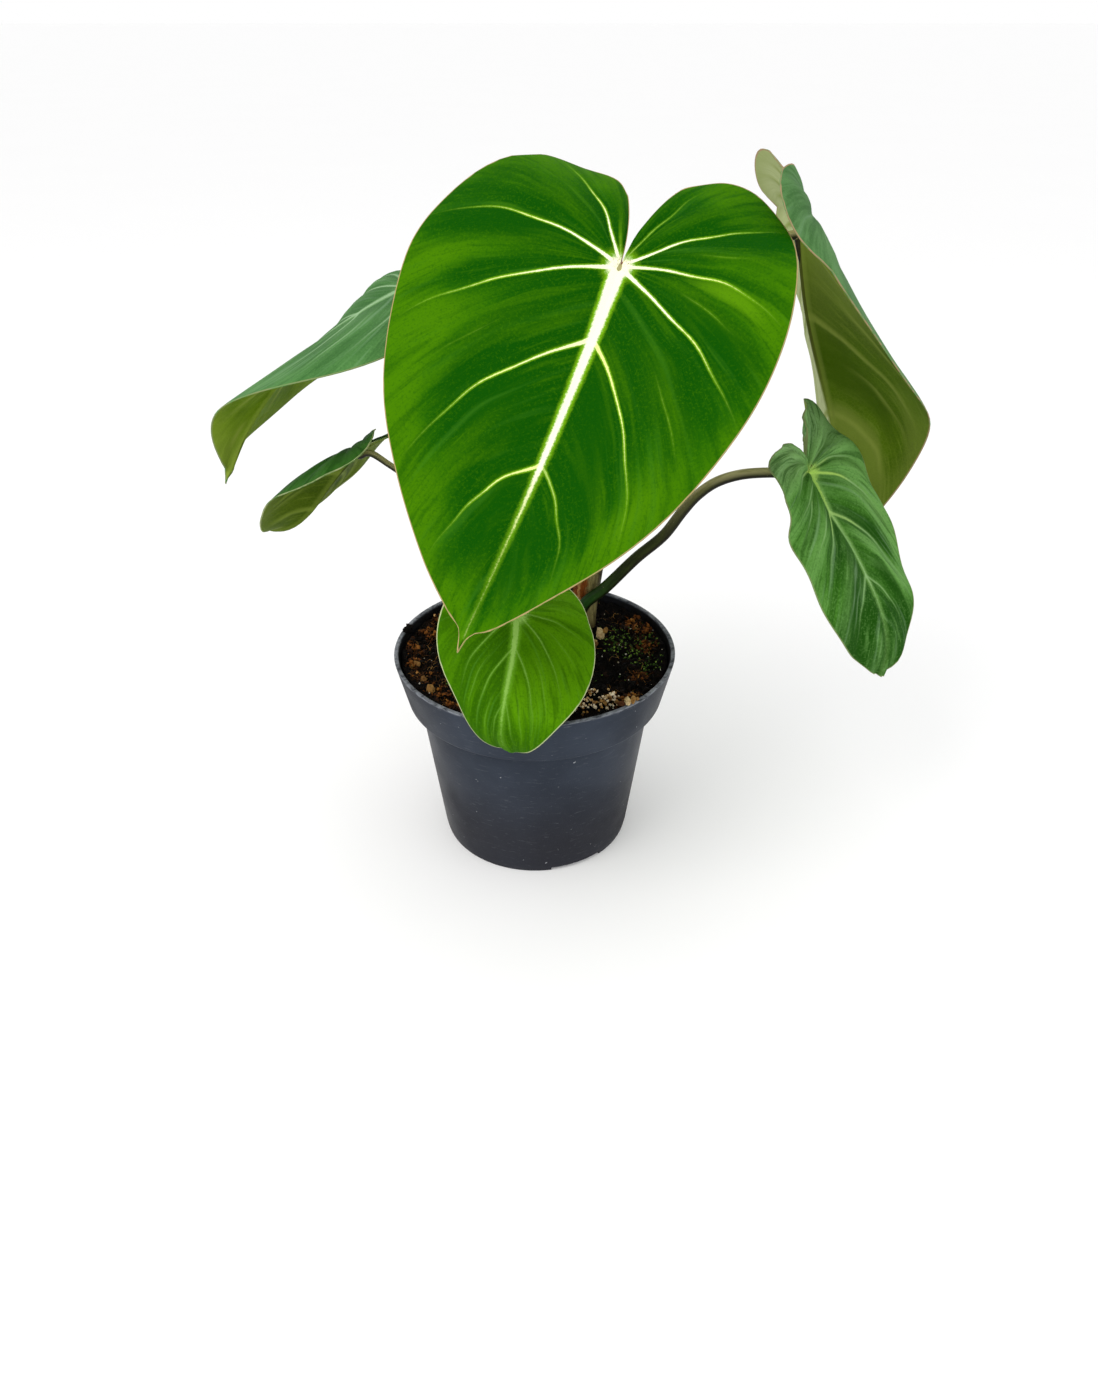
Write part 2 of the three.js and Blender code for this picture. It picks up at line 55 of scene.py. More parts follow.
bl_info = {
    "name": "Potted gloriosum",
    "version": (1, 0, 0),
    "blender": (4, 5, 0),
    "location": "View3D > Sidebar > Plant",
    "description": "Builds a young heart-leaved creeping plant in its nursery pot around the packed solids",
    "category": "Add Mesh",
}

MM = 0.001
# Upper end of a random angle in radians
ANY_ANGLE = 6.28

# Half outline of a leaf from the back of its lobe to its tip: x in half widths, y in lobe lengths
# behind the stalk's junction and in blade lengths before it
HALF_OUTLINE = [
    (0.10, -0.72), (0.20, -0.92), (0.38, -1.02), (0.62, -0.93), (0.84, -0.55), (0.975, 0.0), (1.0, 0.16),
    (0.95, 0.34), (0.81, 0.53), (0.59, 0.71), (0.34, 0.86), (0.13, 0.955), (0.045, 0.985), (0.0, 1.04),
]

# Main veins of one half: station on the outline, share of the midrib where it leaves, first angle
# off the midrib in degrees, reach of that direction, and how strongly it is drawn
LOBE_VEIN = (0, 0, 178, 0.45, 0)
TIP_VEIN = (13, 0.93, 0, 0.5, 0)
PLAIN_VEINS = [
    LOBE_VEIN, (2.2, 0, 156, 0.5, 0.5), (4.2, 0, 130, 0.55, 0.8), (5.8, 0, 102, 0.55, 0.9),
    (7.2, 0, 66, 0.55, 1), (8.6, 0.20, 56, 0.55, 0.9), (10.0, 0.52, 52, 0.5, 0.7), TIP_VEIN,
]
LARGE_LEFT_VEINS = [
    LOBE_VEIN, (2.6, 0, 152, 0.5, 1), (5.0, 0, 114, 0.6, 1), (6.9, 0, 72, 0.6, 0.95),
    (8.8, 0.20, 57, 0.55, 0.9), (10.1, 0.54, 56, 0.5, 0.75), TIP_VEIN,
]
LARGE_RIGHT_VEINS = [
    LOBE_VEIN, (2.0, 0, 160, 0.5, 0.45), (3.9, 0, 126, 0.6, 1), (5.6, 0, 99, 0.6, 0.95),
    (7.0, 0, 60, 0.6, 1), (9.0, 0.20, 46, 0.6, 0.8), (10.0, 0.54, 54, 0.5, 0.5), TIP_VEIN,
]
FRONT_VEINS = [
    LOBE_VEIN, (2.2, 0, 156, 0.5, 0.3), (4.2, 0, 128, 0.55, 0.5), (6.2, 0, 88, 0.6, 0.6),
    (8.6, 0, 48, 0.6, 0.65), (10.0, 0.22, 36, 0.6, 0.6), (11.2, 0.55, 26, 0.5, 0.45), TIP_VEIN,
]
# Faint veins between the main ones: place between veins, first and last share of their run, strength
PLAIN_MINOR = [(2.5, 0.2, 0.85, 0.3), (3.5, 0.15, 0.8, 0.3), (4.5, 0.3, 0.9, 0.3), (5.5, 0.3, 0.9, 0.25)]
FRONT_MINOR = [
    (2.5, 0.1, 0.9, 0.3), (3.5, 0.1, 0.9, 0.35), (4.5, 0.1, 0.95, 0.4), (5.5, 0.1, 0.95, 0.35),
    (6.5, 0.1, 0.8, 0.3),
]
RIBBED_MINOR = [
    (1.5, 0.1, 0.95, 0.5), (2.5, 0.1, 0.95, 0.6), (3.5, 0.05, 0.98, 0.7), (4.5, 0.05, 0.98, 0.7),
    (5.4, 0.05, 0.98, 0.6), (6.5, 0.1, 0.9, 0.5),
]
LARGE_LEFT_MINOR = [(0.55, 0.0, 0.6, 0.4), (2.45, 0.3, 0.8, 0.42), (3.5, 0.35, 0.8, 0.2)]
LARGE_RIGHT_MINOR = [(3.5, 0.25, 0.75, 0.25), (4.5, 0.3, 0.9, 0.25), (2.5, 0.3, 0.8, 0.2)]
# Spots of painted shade that lie dark in the hollows of the quilted sheet and, with a negative depth, of
# painted light on its swells: place between veins, share of the way to the margin, spread of both, depth
LARGE_LEFT_PAINTED_SHADING = [
    (1.9, 0.9, 0.25, 0.2, 0.5), (2.2, 0.5, 0.18, 0.26, 1.1), (1.7, 0.33, 0.2, 0.14, 0.6),
    (2.8, 0.58, 0.08, 0.1, 0.8), (3.5, 0.42, 0.12, 0.2, 0.5), (3.8, 0.6, 0.12, 0.14, 0.9),
    (4.2, 0.47, 0.16, 0.22, 1.1), (4.65, 0.22, 0.22, 0.2, 0.8), (5.2, 0.35, 0.2, 0.26, 1.1),
    (2.55, 0.75, 0.12, 0.3, -0.8), (3.2, 0.6, 0.15, 0.3, -0.6), (3.4, 0.9, 0.35, 0.16, -0.35),
    (1.4, 0.6, 0.2, 0.15, -0.4), (0.8, 0.65, 0.3, 0.3, -0.5), (4.5, 0.86, 0.4, 0.16, -0.15),
    (5.3, 0.88, 0.4, 0.16, -0.2),
]
LARGE_RIGHT_PAINTED_SHADING = [
    (2.15, 0.6, 0.13, 0.2, 1.1), (2.15, 0.92, 0.16, 0.12, 0.6), (3.65, 0.6, 0.24, 0.24, 1.1),
    (3.95, 0.3, 0.1, 0.14, 0.7), (4.45, 0.42, 0.2, 0.2, 0.95), (5.3, 0.27, 0.17, 0.2, 1.3),
    (5.65, 0.42, 0.14, 0.28, 0.9), (6.35, 0.42, 0.3, 0.22, 1.1), (1.3, 0.8, 0.3, 0.2, -0.7),
    (2.7, 0.5, 0.1, 0.25, -0.7), (3.15, 0.58, 0.16, 0.26, -1.4), (4.6, 0.6, 0.15, 0.2, -0.5),
    (4.9, 0.82, 0.25, 0.14, -0.6), (5.35, 0.86, 0.3, 0.12, -0.5),
]
COOL_LEFT_PAINTED_SHADING = [
    (5.65, 0.62, 0.2, 0.25, 0.9), (6.1, 0.8, 0.3, 0.2, 0.7), (5.1, 0.55, 0.14, 0.3, 0.6),
    (4.25, 0.5, 0.3, 0.4, -0.5), (5.2, 0.9, 0.2, 0.15, -0.5),
]
COOL_RIGHT_PAINTED_SHADING = [
    (4.95, 0.3, 0.13, 0.18, 1.2), (4.75, 0.62, 0.14, 0.18, 1.1), (5.68, 0.5, 0.14, 0.24, 1.3),
    (3.3, 0.2, 0.3, 0.12, 0.5), (3.6, 0.6, 0.4, 0.3, -0.7), (4.1, 0.7, 0.2, 0.25, -0.9),
    (5.25, 0.5, 0.12, 0.25, -0.9), (1.9, 0.5, 0.5, 0.4, -0.8), (6.2, 0.5, 0.2, 0.25, 0.6),
]
OLIVE_PAINTED_SHADING = [
    (5.4, 0.12, 0.3, 0.14, 0.9), (5.58, 0.5, 0.18, 0.25, 1.0), (4.7, 0.12, 0.4, 0.12, 0.6),
    (5.97, 0.3, 0.12, 0.3, -0.8), (6.15, 0.1, 0.2, 0.1, -0.7), (6.3, 0.6, 0.25, 0.3, -0.7),
    (5.15, 0.8, 0.4, 0.15, -0.6), (4.4, 0.3, 0.3, 0.2, -0.5),
]

# Places of a leaf's fold and curl: back of the lobe, junction, half way and tip
FOLD_STATIONS = (-1, 0, 0.5, 1)
# Half width of the pale midrib at these shares of the length, in units of the leaf's rib
RIB_STATIONS = (0, 0.1, 0.22, 0.4, 0.54, 0.6, 0.8, 1)
RIB_WIDTHS = (1.5, 1.22, 0.9, 0.7, 0.52, 0.36, 0.25, 0.08)
MIDRIB_REACH = 1.06
LOBE_REACH = 1.3
PATH_STEPS = 120
CURL_STEPS = 16
# How far the rows of a blade's grid crowd to its veins and its columns to the junction
ROW_PULL = 0.75
COLUMN_PULL = 1.15
VEIN_STEPS = 60
CURVE_STEPS = 40
# Share of the blade's thickness at its margin and what its body adds, on either side of the sheet
MARGIN_THICK, BODY_THICK = 0.32, 0.18
# The midrib stands out below and swells above by these shares of the leaf's rib. Side veins stand out
# below and sink in above by these millimetres
RIB_DEPTH, RIB_SWELL = 0.75, 0.25
VEIN_RIDGE, VEIN_GROOVE = 0.32, 0.22
MOST_VEINS = 12
SECOND_HALF_SEED = 50
# The places between veins of a leaf's second half are counted on from here
SECOND_HALF_PHASE = 20
# Distance that stands for no vein near, in millimetres
NO_VEIN = 30.0
# What the strip of the margin says of its distance to veins, midrib and junction
RIM_FAR = 9

# What a leaf has where its own entry says nothing else
COMMON = dict(
    late=1.6, sinus=(1, 1), tail=1, rib=1.0, quilt=1.3, pale=(0, 0), veins=(PLAIN_VEINS, PLAIN_VEINS),
    minor=(PLAIN_MINOR, PLAIN_MINOR), painted_light_and_shade=((), ()),
)
RIBBED = dict(COMMON, minor=(RIBBED_MINOR, RIBBED_MINOR))

# One entry a leaf, in the sizes of the imported solids: millimetres and degrees. Pairs are the leaf's two
# halves, except wave, the height and the count of the margin's waves, and radius, the stalk's at its foot
# and at its end. heading is share of the length, azimuth, elevation and roll of the midrib. sinus scales
# the gap between the lobes and tail the tip, late is how far out the curl sets in, and puff and quilt
# swell the sheet between veins. route is the stalk's way up, and seat how deep under the junction it
# ends. rows is the grid's rows from vein to vein, and columns the cells of a row.
# Each half's spots of painted shade and light stand under their own key, and pale marks the half whose lower
# face is painted lighter in sage.
LEAVES = {
    "leaf_large": dict(
        COMMON, junction=(30, -14, 247), length=136, width=(72, 62), lobe=(44, 42), sinus=(1, 1.2),
        heading=[(0, -118, -46, 17), (0.5, -125, -48, 20), (1, -127, -46, 19)], droop=(42, 20),
        fold=[(5, 6, 5, 6), (6, 14, 14, 14)], curl=[(-16, -20, -10, -4), (-12, -4, -6, -1)],
        puff=1.0, wave=(1.0, 5), rib=2.0, veins=(LARGE_LEFT_VEINS, LARGE_RIGHT_VEINS),
        minor=(LARGE_LEFT_MINOR, LARGE_RIGHT_MINOR), painted_light_and_shade=(LARGE_LEFT_PAINTED_SHADING, LARGE_RIGHT_PAINTED_SHADING),
        route=[(22, 25, 83), (22, 24, 100), (27, 20, 145), (33, 14, 195), (34, 4, 230), (31.4, -8, 242.5)],
        radius=(2.9, 1.9), seat=1.05, slot="leaf_dark", look="leaf_dark", rows=20, columns=72, seed=3,
    ),
    "leaf_front": dict(
        COMMON, junction=(-6, -49, 134), length=61, width=(28.5, 31.7), lobe=(14, 14),
        heading=[(0, -90, -42, 16), (0.5, -106, -49, 1), (1, -115, -145, -1)], droop=(10, 10),
        fold=[(0, 15, -9, 3), (1, -1, -7, 5)], curl=[(-20, -11, -12, -2), (-20, -26, -23, 1)],
        puff=0.5, wave=(0.5, 4), rib=0.95, veins=(FRONT_VEINS, FRONT_VEINS), minor=(FRONT_MINOR, FRONT_MINOR),
        route=[(-1, -7, 80), (-1, -11, 98), (-3, -26, 117), (-6, -41, 126)],
        radius=(1.9, 1.3), seat=1.2, slot="leaf_young", look="leaf_young", rows=12, columns=44, seed=5,
    ),
    "leaf_right_low": dict(
        COMMON, junction=(107.2, 2.5, 168), length=89, width=(44, 33), lobe=(16.7, 22.4), sinus=(1, 1.6),
        tail=0.955, heading=[(0, -35, -55, -13), (0.5, -59, -40, -3), (1, -60, -95, -20)],
        droop=(-19, -41), fold=[(20, 35, 28, 1), (-22, 17, -17, -7)],
        curl=[(-26, -19, -31, 7), (-30, -48, 6, -18)], puff=1.1, quilt=1.9, wave=(1.0, 7),
        minor=(RIBBED_MINOR, PLAIN_MINOR), painted_light_and_shade=(COOL_LEFT_PAINTED_SHADING, COOL_RIGHT_PAINTED_SHADING),
        route=[
            (16, 13, 81), (17, 14, 94), (21.7, 14.5, 103.5), (30, 14.7, 111), (43, 14, 125.7),
            (53.7, 12, 137), (60.7, 10.5, 148.5), (65.5, 9.5, 155.3), (72.2, 8, 161.5), (81, 5.5, 165.8),
            (92.4, 2.5, 168),
        ],
        radius=(2.8, 1.9), seat=2.3, slot="leaf_cool", look="leaf_cool", rows=14, columns=52, seed=7,
    ),
    "leaf_right_back": dict(
        RIBBED, junction=(98.7, 27.4, 251), length=151.5, width=(54.3, 50.3), lobe=(30.6, 23.8),
        sinus=(1, 0.65), heading=[(0, 14.5, -80, 17.6), (0.5, 43.5, -59, 24.4), (1, 37.8, -85.5, -1.8)],
        droop=(15, 18.7), fold=[(-41, -9, 12.9, 10.5), (23.6, 49.8, 56.2, 24.5)],
        curl=[(-33.9, -46, -70.3, -13.7), (-13.2, -34.8, 33.6, 13.9)], late=0.9, puff=0.8, quilt=1.1,
        # Its second half's lower face is painted lighter, in sage
        wave=(0.8, 5), rib=1.3, painted_light_and_shade=(OLIVE_PAINTED_SHADING, ()), pale=(0, 1),
        route=[
            (13, 21, 81), (12, 27, 100), (27, 40, 150), (51, 45, 200), (73, 38, 237.5), (88.7, 27.6, 248.5),
        ],
        radius=(2.7, 1.7), seat=1.1, slot="leaf_old", look="leaf_old", rows=14, columns=60, seed=11,
    ),
    "leaf_left_back": dict(
        RIBBED, junction=(-47, 27.4, 231.8), length=106, width=(47.6, 45.3), lobe=(23.5, 30.3),
        sinus=(1, 0.78), heading=[(0, 206.5, -16.8, 0), (0.5, 183.5, -41.8, -1), (1, 202.3, -64.9, -23.5)],
        droop=(5, 12.5), fold=[(-15.3, 6.8, -9.9, 11), (6, 1, 15.5, 44)],
        curl=[(-60.8, -55.5, -42.8, -57.2), (-47.8, -15.2, -43.4, 12)], puff=0.8, quilt=0.9, wave=(1.0, 5),
        route=[(8, 11, 81), (4, 18, 105), (-3, 34, 150), (-18, 38, 195), (-36.5, 31.5, 220.5)],
        radius=(2.5, 1.6), seat=1.65, slot="leaf_cool", look="leaf_soft", rows=14, columns=52, seed=13,
    ),
    "leaf_left_low": dict(
        RIBBED, junction=(-69.2, 13.1, 172.7), length=81, width=(19, 29.4), lobe=(23.2, 17.6),
        sinus=(0.84, 0.83), droop=(28.4, -33.6), fold=[(17, 28, 68.6, 56), (-58, 1.7, -1.3, -27.6)],
        heading=[(0, 143.3, -40, -21.3), (0.5, 152.5, -48.3, -54.5), (1, 134.7, -5, -25.8)],
        curl=[(20.6, -1.8, -20, 11), (0, -64.5, -66, 50)], late=0.9, puff=0.6, wave=(0.6, 5), rib=0.8,
        route=[
            (2.5, 2.5, 81), (-1, 4, 98), (-16, 9, 128), (-38, 10, 153), (-57.2, 9.2, 168.7),
            (-64.7, 10, 173.2),
        ],
        radius=(2.0, 1.2), seat=2.0, slot="leaf_old", look="leaf_low", rows=12, columns=44, seed=17,
    ),
}

STEM_PATH = [(-7, -17, 79), (-1, -8, 81), (7, 5, 83), (15, 16, 84), (21, 24, 84.5), (25, 30, 85)]
STEM_RADII = (3.4, 5.6, 6.4, 6.8, 7, 4.4)
STEM_RINGS = 70
STEM_STEPS, STEM_SIDES = 120, 40
STALK_STEPS, STALK_SIDES = 150, 24
# Steps of the stalk's last stretch, which thins out under the midrib, and its radius there
STALK_END_STEPS, STALK_END_RADIUS = 14, 0.3
SHEATH = dict(
    base=86, top=130, radius=5.2, flare=1.8, wrap=280, tip=36, facing=265, rows=70, columns=56,
    outer=0.05, inner=0.35, path_steps=400,
)

# Pot outline as radius, height and the rounding of that corner
POT_OUTSIDE = [
    (0, 0, 0), (22, 0, 0.4), (23, 1.6, 0.4), (36.5, 1.6, 0.4), (37.5, 0, 0.4), (41.6, 0, 0.6),
    (42.4, 3.5, 1.5), (50.5, 69.4, 2.2), (55.2, 70.2, 1.1), (60, 91, 0.7), (58.2, 91, 0.5),
]
POT_INSIDE = [(54.5, 72.1, 1), (49.0, 71.4, 1), (40.8, 3.4, 1), (0, 3.4, 0)]
# Both are cut out from their low to their high end
DRAIN = dict(count=6, radius=4, ring=30, sides=24, low=-4, high=6)
FOOT_GAP = dict(count=3, width=24, first=-63.5, inner=36.5, outer=47.5, low=-2, high=1.8)
# Edges of the pot with a sharper turn than this stay hard, in degrees
SHARP_ANGLE = 38
RIM_HEIGHT = 91
SOIL_LEVEL = 84.5
SOIL_TOP_RADIUS = 56.7
SOIL_SIDE = np.array([(56.2, 82), (54.2, 72.5), (48.7, 71.9), (40.5, 3.7)])

# How far from the pot's axis loose bits, coir fibres and the ends of fibres may lie
BITS_REACH = 55.5
PLACED_REACH = 55.3
FIBRE_REACH = 52
FIBRE_END_REACH = 55.6
FIBRE_STEPS = 9
# Share of the fibres that lie in the rusty places
RUSTY_FIBRES = 0.75
SOIL_SEED = 21
# How many bits lie all over the soil, and how many near the places where their kind gathers
STREWN = dict(chips=90, pale=130, moss=60)
GATHERED = dict(clumps=900, chips=46, grains=150, moss=340)
# Rust brown peat and coir lie round these places: x, y, spread
RUSTY_PLACES = [
    (-44, 28, 5), (-46, 17, 5), (-52, 4, 4), (-51, -7, 4), (-47, -18, 4.5), (-38, -30, 4.5), (-32, -41, 3),
    (43, 28, 4.5), (49, 19, 4), (49, 6, 4), (44, -18, 4), (36, -37, 3), (40, -33, 2.5), (0, -44, 5),
    (20, 38, 6),
]
MOSSY_PLACES = [(39, 18, 4), (43, 1, 4.5), (49, 11, 3.5), (48, -9, 3.5), (36, 8, 5)]
GRAIN_PLACES = [(29.8, -36.2, 1.9), (25.6, -40, 2.0), (20.5, -39.5, 2.0), (23.6, -30, 1.0), (32, -33.4, 1.6)]
# One large pale bit in front, beside the golden grains
PALE_BIT = dict(x=23.7, y=-28.0, size=0.9)
# Large bits: x, y, height over the soil, size, tint. Those past the soil's edge lie on the rim
CHUNKS = np.array([
    (28.6, 12.4, 1.2, 2.7, 0.95), (30.6, 14.2, 2.4, 1.7, 0.8), (26.2, 9.0, 1.0, 2.0, 0.9),
    (25.4, 6.0, 0.4, 1.9, 0.7), (33.5, -41.0, 1.8, 1.8, 0.75), (34.6, -45.8, 0, 1.5, 0.6),
    (36.8, -44.4, 0, 1.9, 0.95), (39.0, -43.2, 0, 1.7, 0.85), (41.0, -42.0, 0, 1.2, 0.8),
    (-46.0, -20.0, 0.3, 2.0, 0.7), (-56.2, 12.5, 4.0, 1.6, 0.02), (-55.4, 15.5, 3.6, 1.3, 0.1),
    (-50.0, -8.0, 0.5, 1.8, 0.75), (-42.0, -30.0, 0.8, 1.9, 0.8),
])

# Colours of loose bits by their tint, from dark to light
CLUMP_STOPS = [(0.0, "060403"), (0.3, "2c1608"), (0.55, "6a3c14"), (0.8, "a06a2c"), (1.0, "c8a066")]
PEAT_STOPS = [
    (0.0, "030202"), (0.42, "0b0704"), (0.58, "26160b"), (0.74, "4c2f14"), (0.88, "7e5626"), (1.0, "ac8850"),
]
BARK_STOPS = [(0.0, "050403"), (0.35, "1a0f08"), (0.6, "4a2a14"), (0.85, "96703c"), (1.0, "cdb88a")]
GRAIN_STOPS = [(0.0, "4c3014"), (0.4, "b88a4c"), (1.0, "fff2d6")]
PALE_STOPS = [(0.0, "8d8372"), (1.0, "ded8c8")]
MOSS_STOPS = [(0.0, "16240c"), (0.5, "3c5a1c"), (1.0, "8fae48")]

# Colours of a leaf's finish: deep and light green, yellow-green of its outer parts, strong, middling and
# faint veins, the glow beside them, a bluish painted sheen, margin, and the lower face's two greens, its
# veins, midrib and the sage of its paler half, which is painted light. show is how much the side veins
# stand out and soft how blurred they are, turn is where the midrib loses its colour. tones shift the green
# from deep to light: towards the margin, everywhere, on the lobes, at the tip, and on the first and the
# second half. The shifts on the lobes and on the halves are painted light and shade.
LEAF_COLOURS = {
    "leaf_dark": dict(
        deep="0b4b00", mid="245f00", warm="447a00", vein="f8f9d8", near="e2ee92", far="8fb84a",
        glow="82bc14", painted_sheen="3c7818", margin="b39c6c", under="4c6a1c", under_deep="35500c",
        under_vein="83925a", under_rib="59601f", painted_light_sage="8f9d6c",
        show=1.0, soft=0.14, gloss=0.02, turn=(0.5, 0.78), tones=(0.8, -0.07, -0.16, 0.0, 0.02, -0.06),
    ),
    "leaf_young": dict(
        deep="2c5c00", mid="3a6e00", warm="548c04", vein="9cc864", near="88b850", far="74a440",
        glow="649c20", painted_sheen="508828", margin="bcc492", under="5f8530", under_deep="486c20",
        under_vein="97aa66", under_rib="7c9346", painted_light_sage="97a878",
        show=0.6, soft=0.34, gloss=0.02, turn=(0.2, 0.7), tones=(0.35, 0.16, 0.1, -0.9, 0.0, 0.46),
    ),
    "leaf_cool": dict(
        deep="164600", mid="3f761e", warm="6c9e50", vein="b4da68", near="92b97c", far="86ac74",
        glow="76a454", painted_sheen="86ab7c", margin="7f8c5a", under="6a8818", under_deep="4a680c",
        under_vein="8c9f4c", under_rib="56691a", painted_light_sage="8b9a66",
        show=0.48, soft=0.6, gloss=0.05, turn=(0.06, 0.34), tones=(0.25, 0.4, 0.9, -0.9, -0.06, 0.12),
    ),
    "leaf_soft": dict(
        deep="2c5c24", mid="487a3c", warm="5f9050", vein="96b88c", near="8cb084", far="86aa7e",
        glow="729c64", painted_sheen="84a884", margin="7f8c5a", under="6c8c14", under_deep="46640a",
        under_vein="86993c", under_rib="56691a", painted_light_sage="8b9a66",
        show=0.5, soft=0.6, gloss=0.1, turn=(0.1, 0.5), tones=(0.2, 0.3, 0.2, 0.0, 0.05, 0.0),
    ),
    "leaf_old": dict(
        deep="2b5a22", mid="4d7a42", warm="5f8a52", vein="8fb37c", near="8fb37c", far="7ca068",
        glow="678f58", painted_sheen="7c9f7c", margin="a08866", under="4e6a08", under_deep="385202",
        under_vein="7a8a38", under_rib="3a3c0c", painted_light_sage="aeb884",
        show=0.4, soft=0.4, gloss=0.08, turn=(0.1, 0.5), tones=(0.4, 0.2, 0.0, 0.0, 0.0, 0.0),
    ),
    "leaf_low": dict(
        deep="164208", mid="2c5c18", warm="3f6e2c", vein="6f9a54", near="6f9a54", far="5c8844",
        glow="4b7a34", painted_sheen="5f8f5c", margin="97a070", under="445a04", under_deep="2e4400",
        under_vein="6c7f2c", under_rib="2c3408", painted_light_sage="7f9150",
        show=0.3, soft=0.3, gloss=0.06, turn=(0.1, 0.5), tones=(0.5, 0.15, 0.0, 0.0, 0.0, 0.0),
    ),
}

# Lights by the setting that holds their power: place, what it points at, width, colour. All in metres
LIGHTS = {
    "key": ((-0.55, -0.55, 0.95), (0.0, 0.0, 0.17), 0.6, (1, 0.98, 0.95)),
    "fill": ((0.9, -0.5, 0.5), (0.0, 0.0, 0.15), 0.7, (0.95, 0.98, 1)),
}
CAMERA = dict(place=(0.0061, -0.388, 0.3195), tilt=57.28, lens=27.53, sensor=36, nearest=0.01)
# Half the width of the floor in metres
FLOOR_HALF = 40


def shade(text):
    """Linear colour of a six-figure sRGB code."""
    parts = [int(text[i:i + 2], 16) / 255 for i in (0, 2, 4)]
    return tuple(c / 12.92 if c <= 0.04045 else ((c + 0.055) / 1.055) ** 2.4 for c in parts)


def hermite(s, start, leave, stop, arrive, gap=1):
    """Cubic between two values that leaves and arrives with the slopes given, over a gap."""
    near = (2 * s**3 - 3 * s**2 + 1) * start + (s**3 - 2 * s**2 + s) * gap * leave
    return near + (3 * s**2 - 2 * s**3) * stop + (s**3 - s**2) * gap * arrive


def glide(knots, values, at):
    """Smooth interpolation of values given at rising knots."""
    k = np.asarray(knots, float)
    v = np.asarray(values, float)
    x = np.clip(np.asarray(at, float), k[0], k[-1])
    gaps = np.diff(k)
    slope = np.diff(v, axis=0) / (gaps if v.ndim == 1 else gaps[:, None])
    tangent = np.concatenate([slope[:1], (slope[1:] + slope[:-1]) / 2, slope[-1:]])
    i = np.clip(np.searchsorted(k, x, side="right") - 1, 0, len(k) - 2)
    h = k[i + 1] - k[i]
    s = (x - k[i]) / h
    if v.ndim > 1:
        h, s = h[..., None], s[..., None]
    return hermite(s, v[i], tangent[i], v[i + 1], tangent[i + 1], h)


def smooth(value, low, high):
    s = np.clip((np.asarray(value, float) - low) / (high - low), 0, 1)
    return s * s * (3 - 2 * s)


def falloff(distance, spread):
    """1 up to an edge and less with the distance past it."""
    return np.exp(-np.maximum(distance, 0) ** 2 / spread)


def bell(value, middle, spread):
    return np.exp(-((value - middle) / spread) ** 2)


def along_path(at, knots, path):
    """Points of a path at these places, where knots gives the place of each of its points."""
    return np.stack([np.interp(at, knots, column) for column in path.T], -1)


def unit(vectors, least):
    """Vectors of length 1. Those shorter than the least stay short."""
    return vectors / np.maximum(np.linalg.norm(vectors, axis=-1, keepdims=True), least)


def heading_frame(headings):
    """Directions of growth, sideways and of the upper face for rows of azimuth, elevation, roll."""
    a, e, r = np.moveaxis(np.radians(headings), -1, 0)
    side = np.stack([np.sin(a), -np.cos(a), 0 * a], -1)
    along = np.stack([np.cos(e) * np.cos(a), np.cos(e) * np.sin(a), np.sin(e)], -1)
    up = np.stack([-np.sin(e) * np.cos(a), -np.sin(e) * np.sin(a), np.cos(e)], -1)
    c, s = np.cos(r)[..., None], np.sin(r)[..., None]
    return along, side * c + up * s, up * c - side * s


def headings_at(leaf, share):
    rows = np.array(leaf["heading"], float)
    return heading_frame(glide(rows[:, 0], rows[:, 1:], share))


def midrib_path(leaf):
    step = MIDRIB_REACH / PATH_STEPS
    along, _, _ = headings_at(leaf, (np.arange(PATH_STEPS) + 0.5) * step)
    run = np.cumsum(along * step * leaf["length"], axis=0)
    return np.concatenate([[np.zeros(3)], run]) + np.array(leaf["junction"], float)


def bend(leaf, half, flat):
    """Bends flat points, x across from the midrib and y along it, of one half into space."""
    length, width, lobe = leaf["length"], leaf["width"][half], leaf["lobe"][half]
    x, y = flat[..., 0], flat[..., 1]
    share = np.clip(y / length, 0, MIDRIB_REACH)
    points = along_path(share, np.linspace(0, MIDRIB_REACH, PATH_STEPS + 1), midrib_path(leaf))
    along, side, up = headings_at(leaf, share)
    back = np.clip(-y / lobe, 0, LOBE_REACH)
    angle = np.radians(leaf["droop"][half]) * back
    bent = np.abs(angle) > 1e-6
    safe = np.where(bent, angle, 1)
    run = np.where(bent, np.sin(safe) / safe, 1)
    drop = np.where(bent, (1 - np.cos(safe)) / safe, 0)
    points = points - (back * lobe)[..., None] * (along * run[..., None] + up * drop[..., None])
    normal = up * np.cos(angle)[..., None] - along * np.sin(angle)[..., None]
    station = np.where(y < 0, -back, y / length)
    fold = np.radians(glide(FOLD_STATIONS, leaf["fold"][half], station))
    curl = np.radians(glide(FOLD_STATIONS, leaf["curl"][half], station))
    across = np.zeros_like(x)
    lift = np.zeros_like(x)
    for k in range(CURL_STEPS):
        slope = fold + curl * np.abs(x / width * (k + 0.5) / CURL_STEPS) ** leaf["late"]
        across += np.cos(slope) * x / CURL_STEPS
        lift += np.sin(slope) * x / CURL_STEPS
    hand = 1 if half == 0 else -1
    return points + side * (hand * across)[..., None] + normal * lift[..., None]


def outline_of(leaf, half):
    shape = np.array(HALF_OUTLINE)
    shape[0, 0] *= leaf["sinus"][half]
    shape[-1, 1] *= leaf["tail"]
    x = shape[:, 0] * leaf["width"][half]
    y = np.where(shape[:, 1] < 0, shape[:, 1] * leaf["lobe"][half], shape[:, 1] * leaf["length"])
    return np.stack([x, y], -1)


def veins_of(leaf, half):
    """Rows of the main veins, their numbers, and the last of them that starts at the junction."""
    veins = np.array(leaf["veins"][half], float)
    return veins, np.arange(len(veins)), np.flatnonzero(veins[:, 1] == 0)[-1]


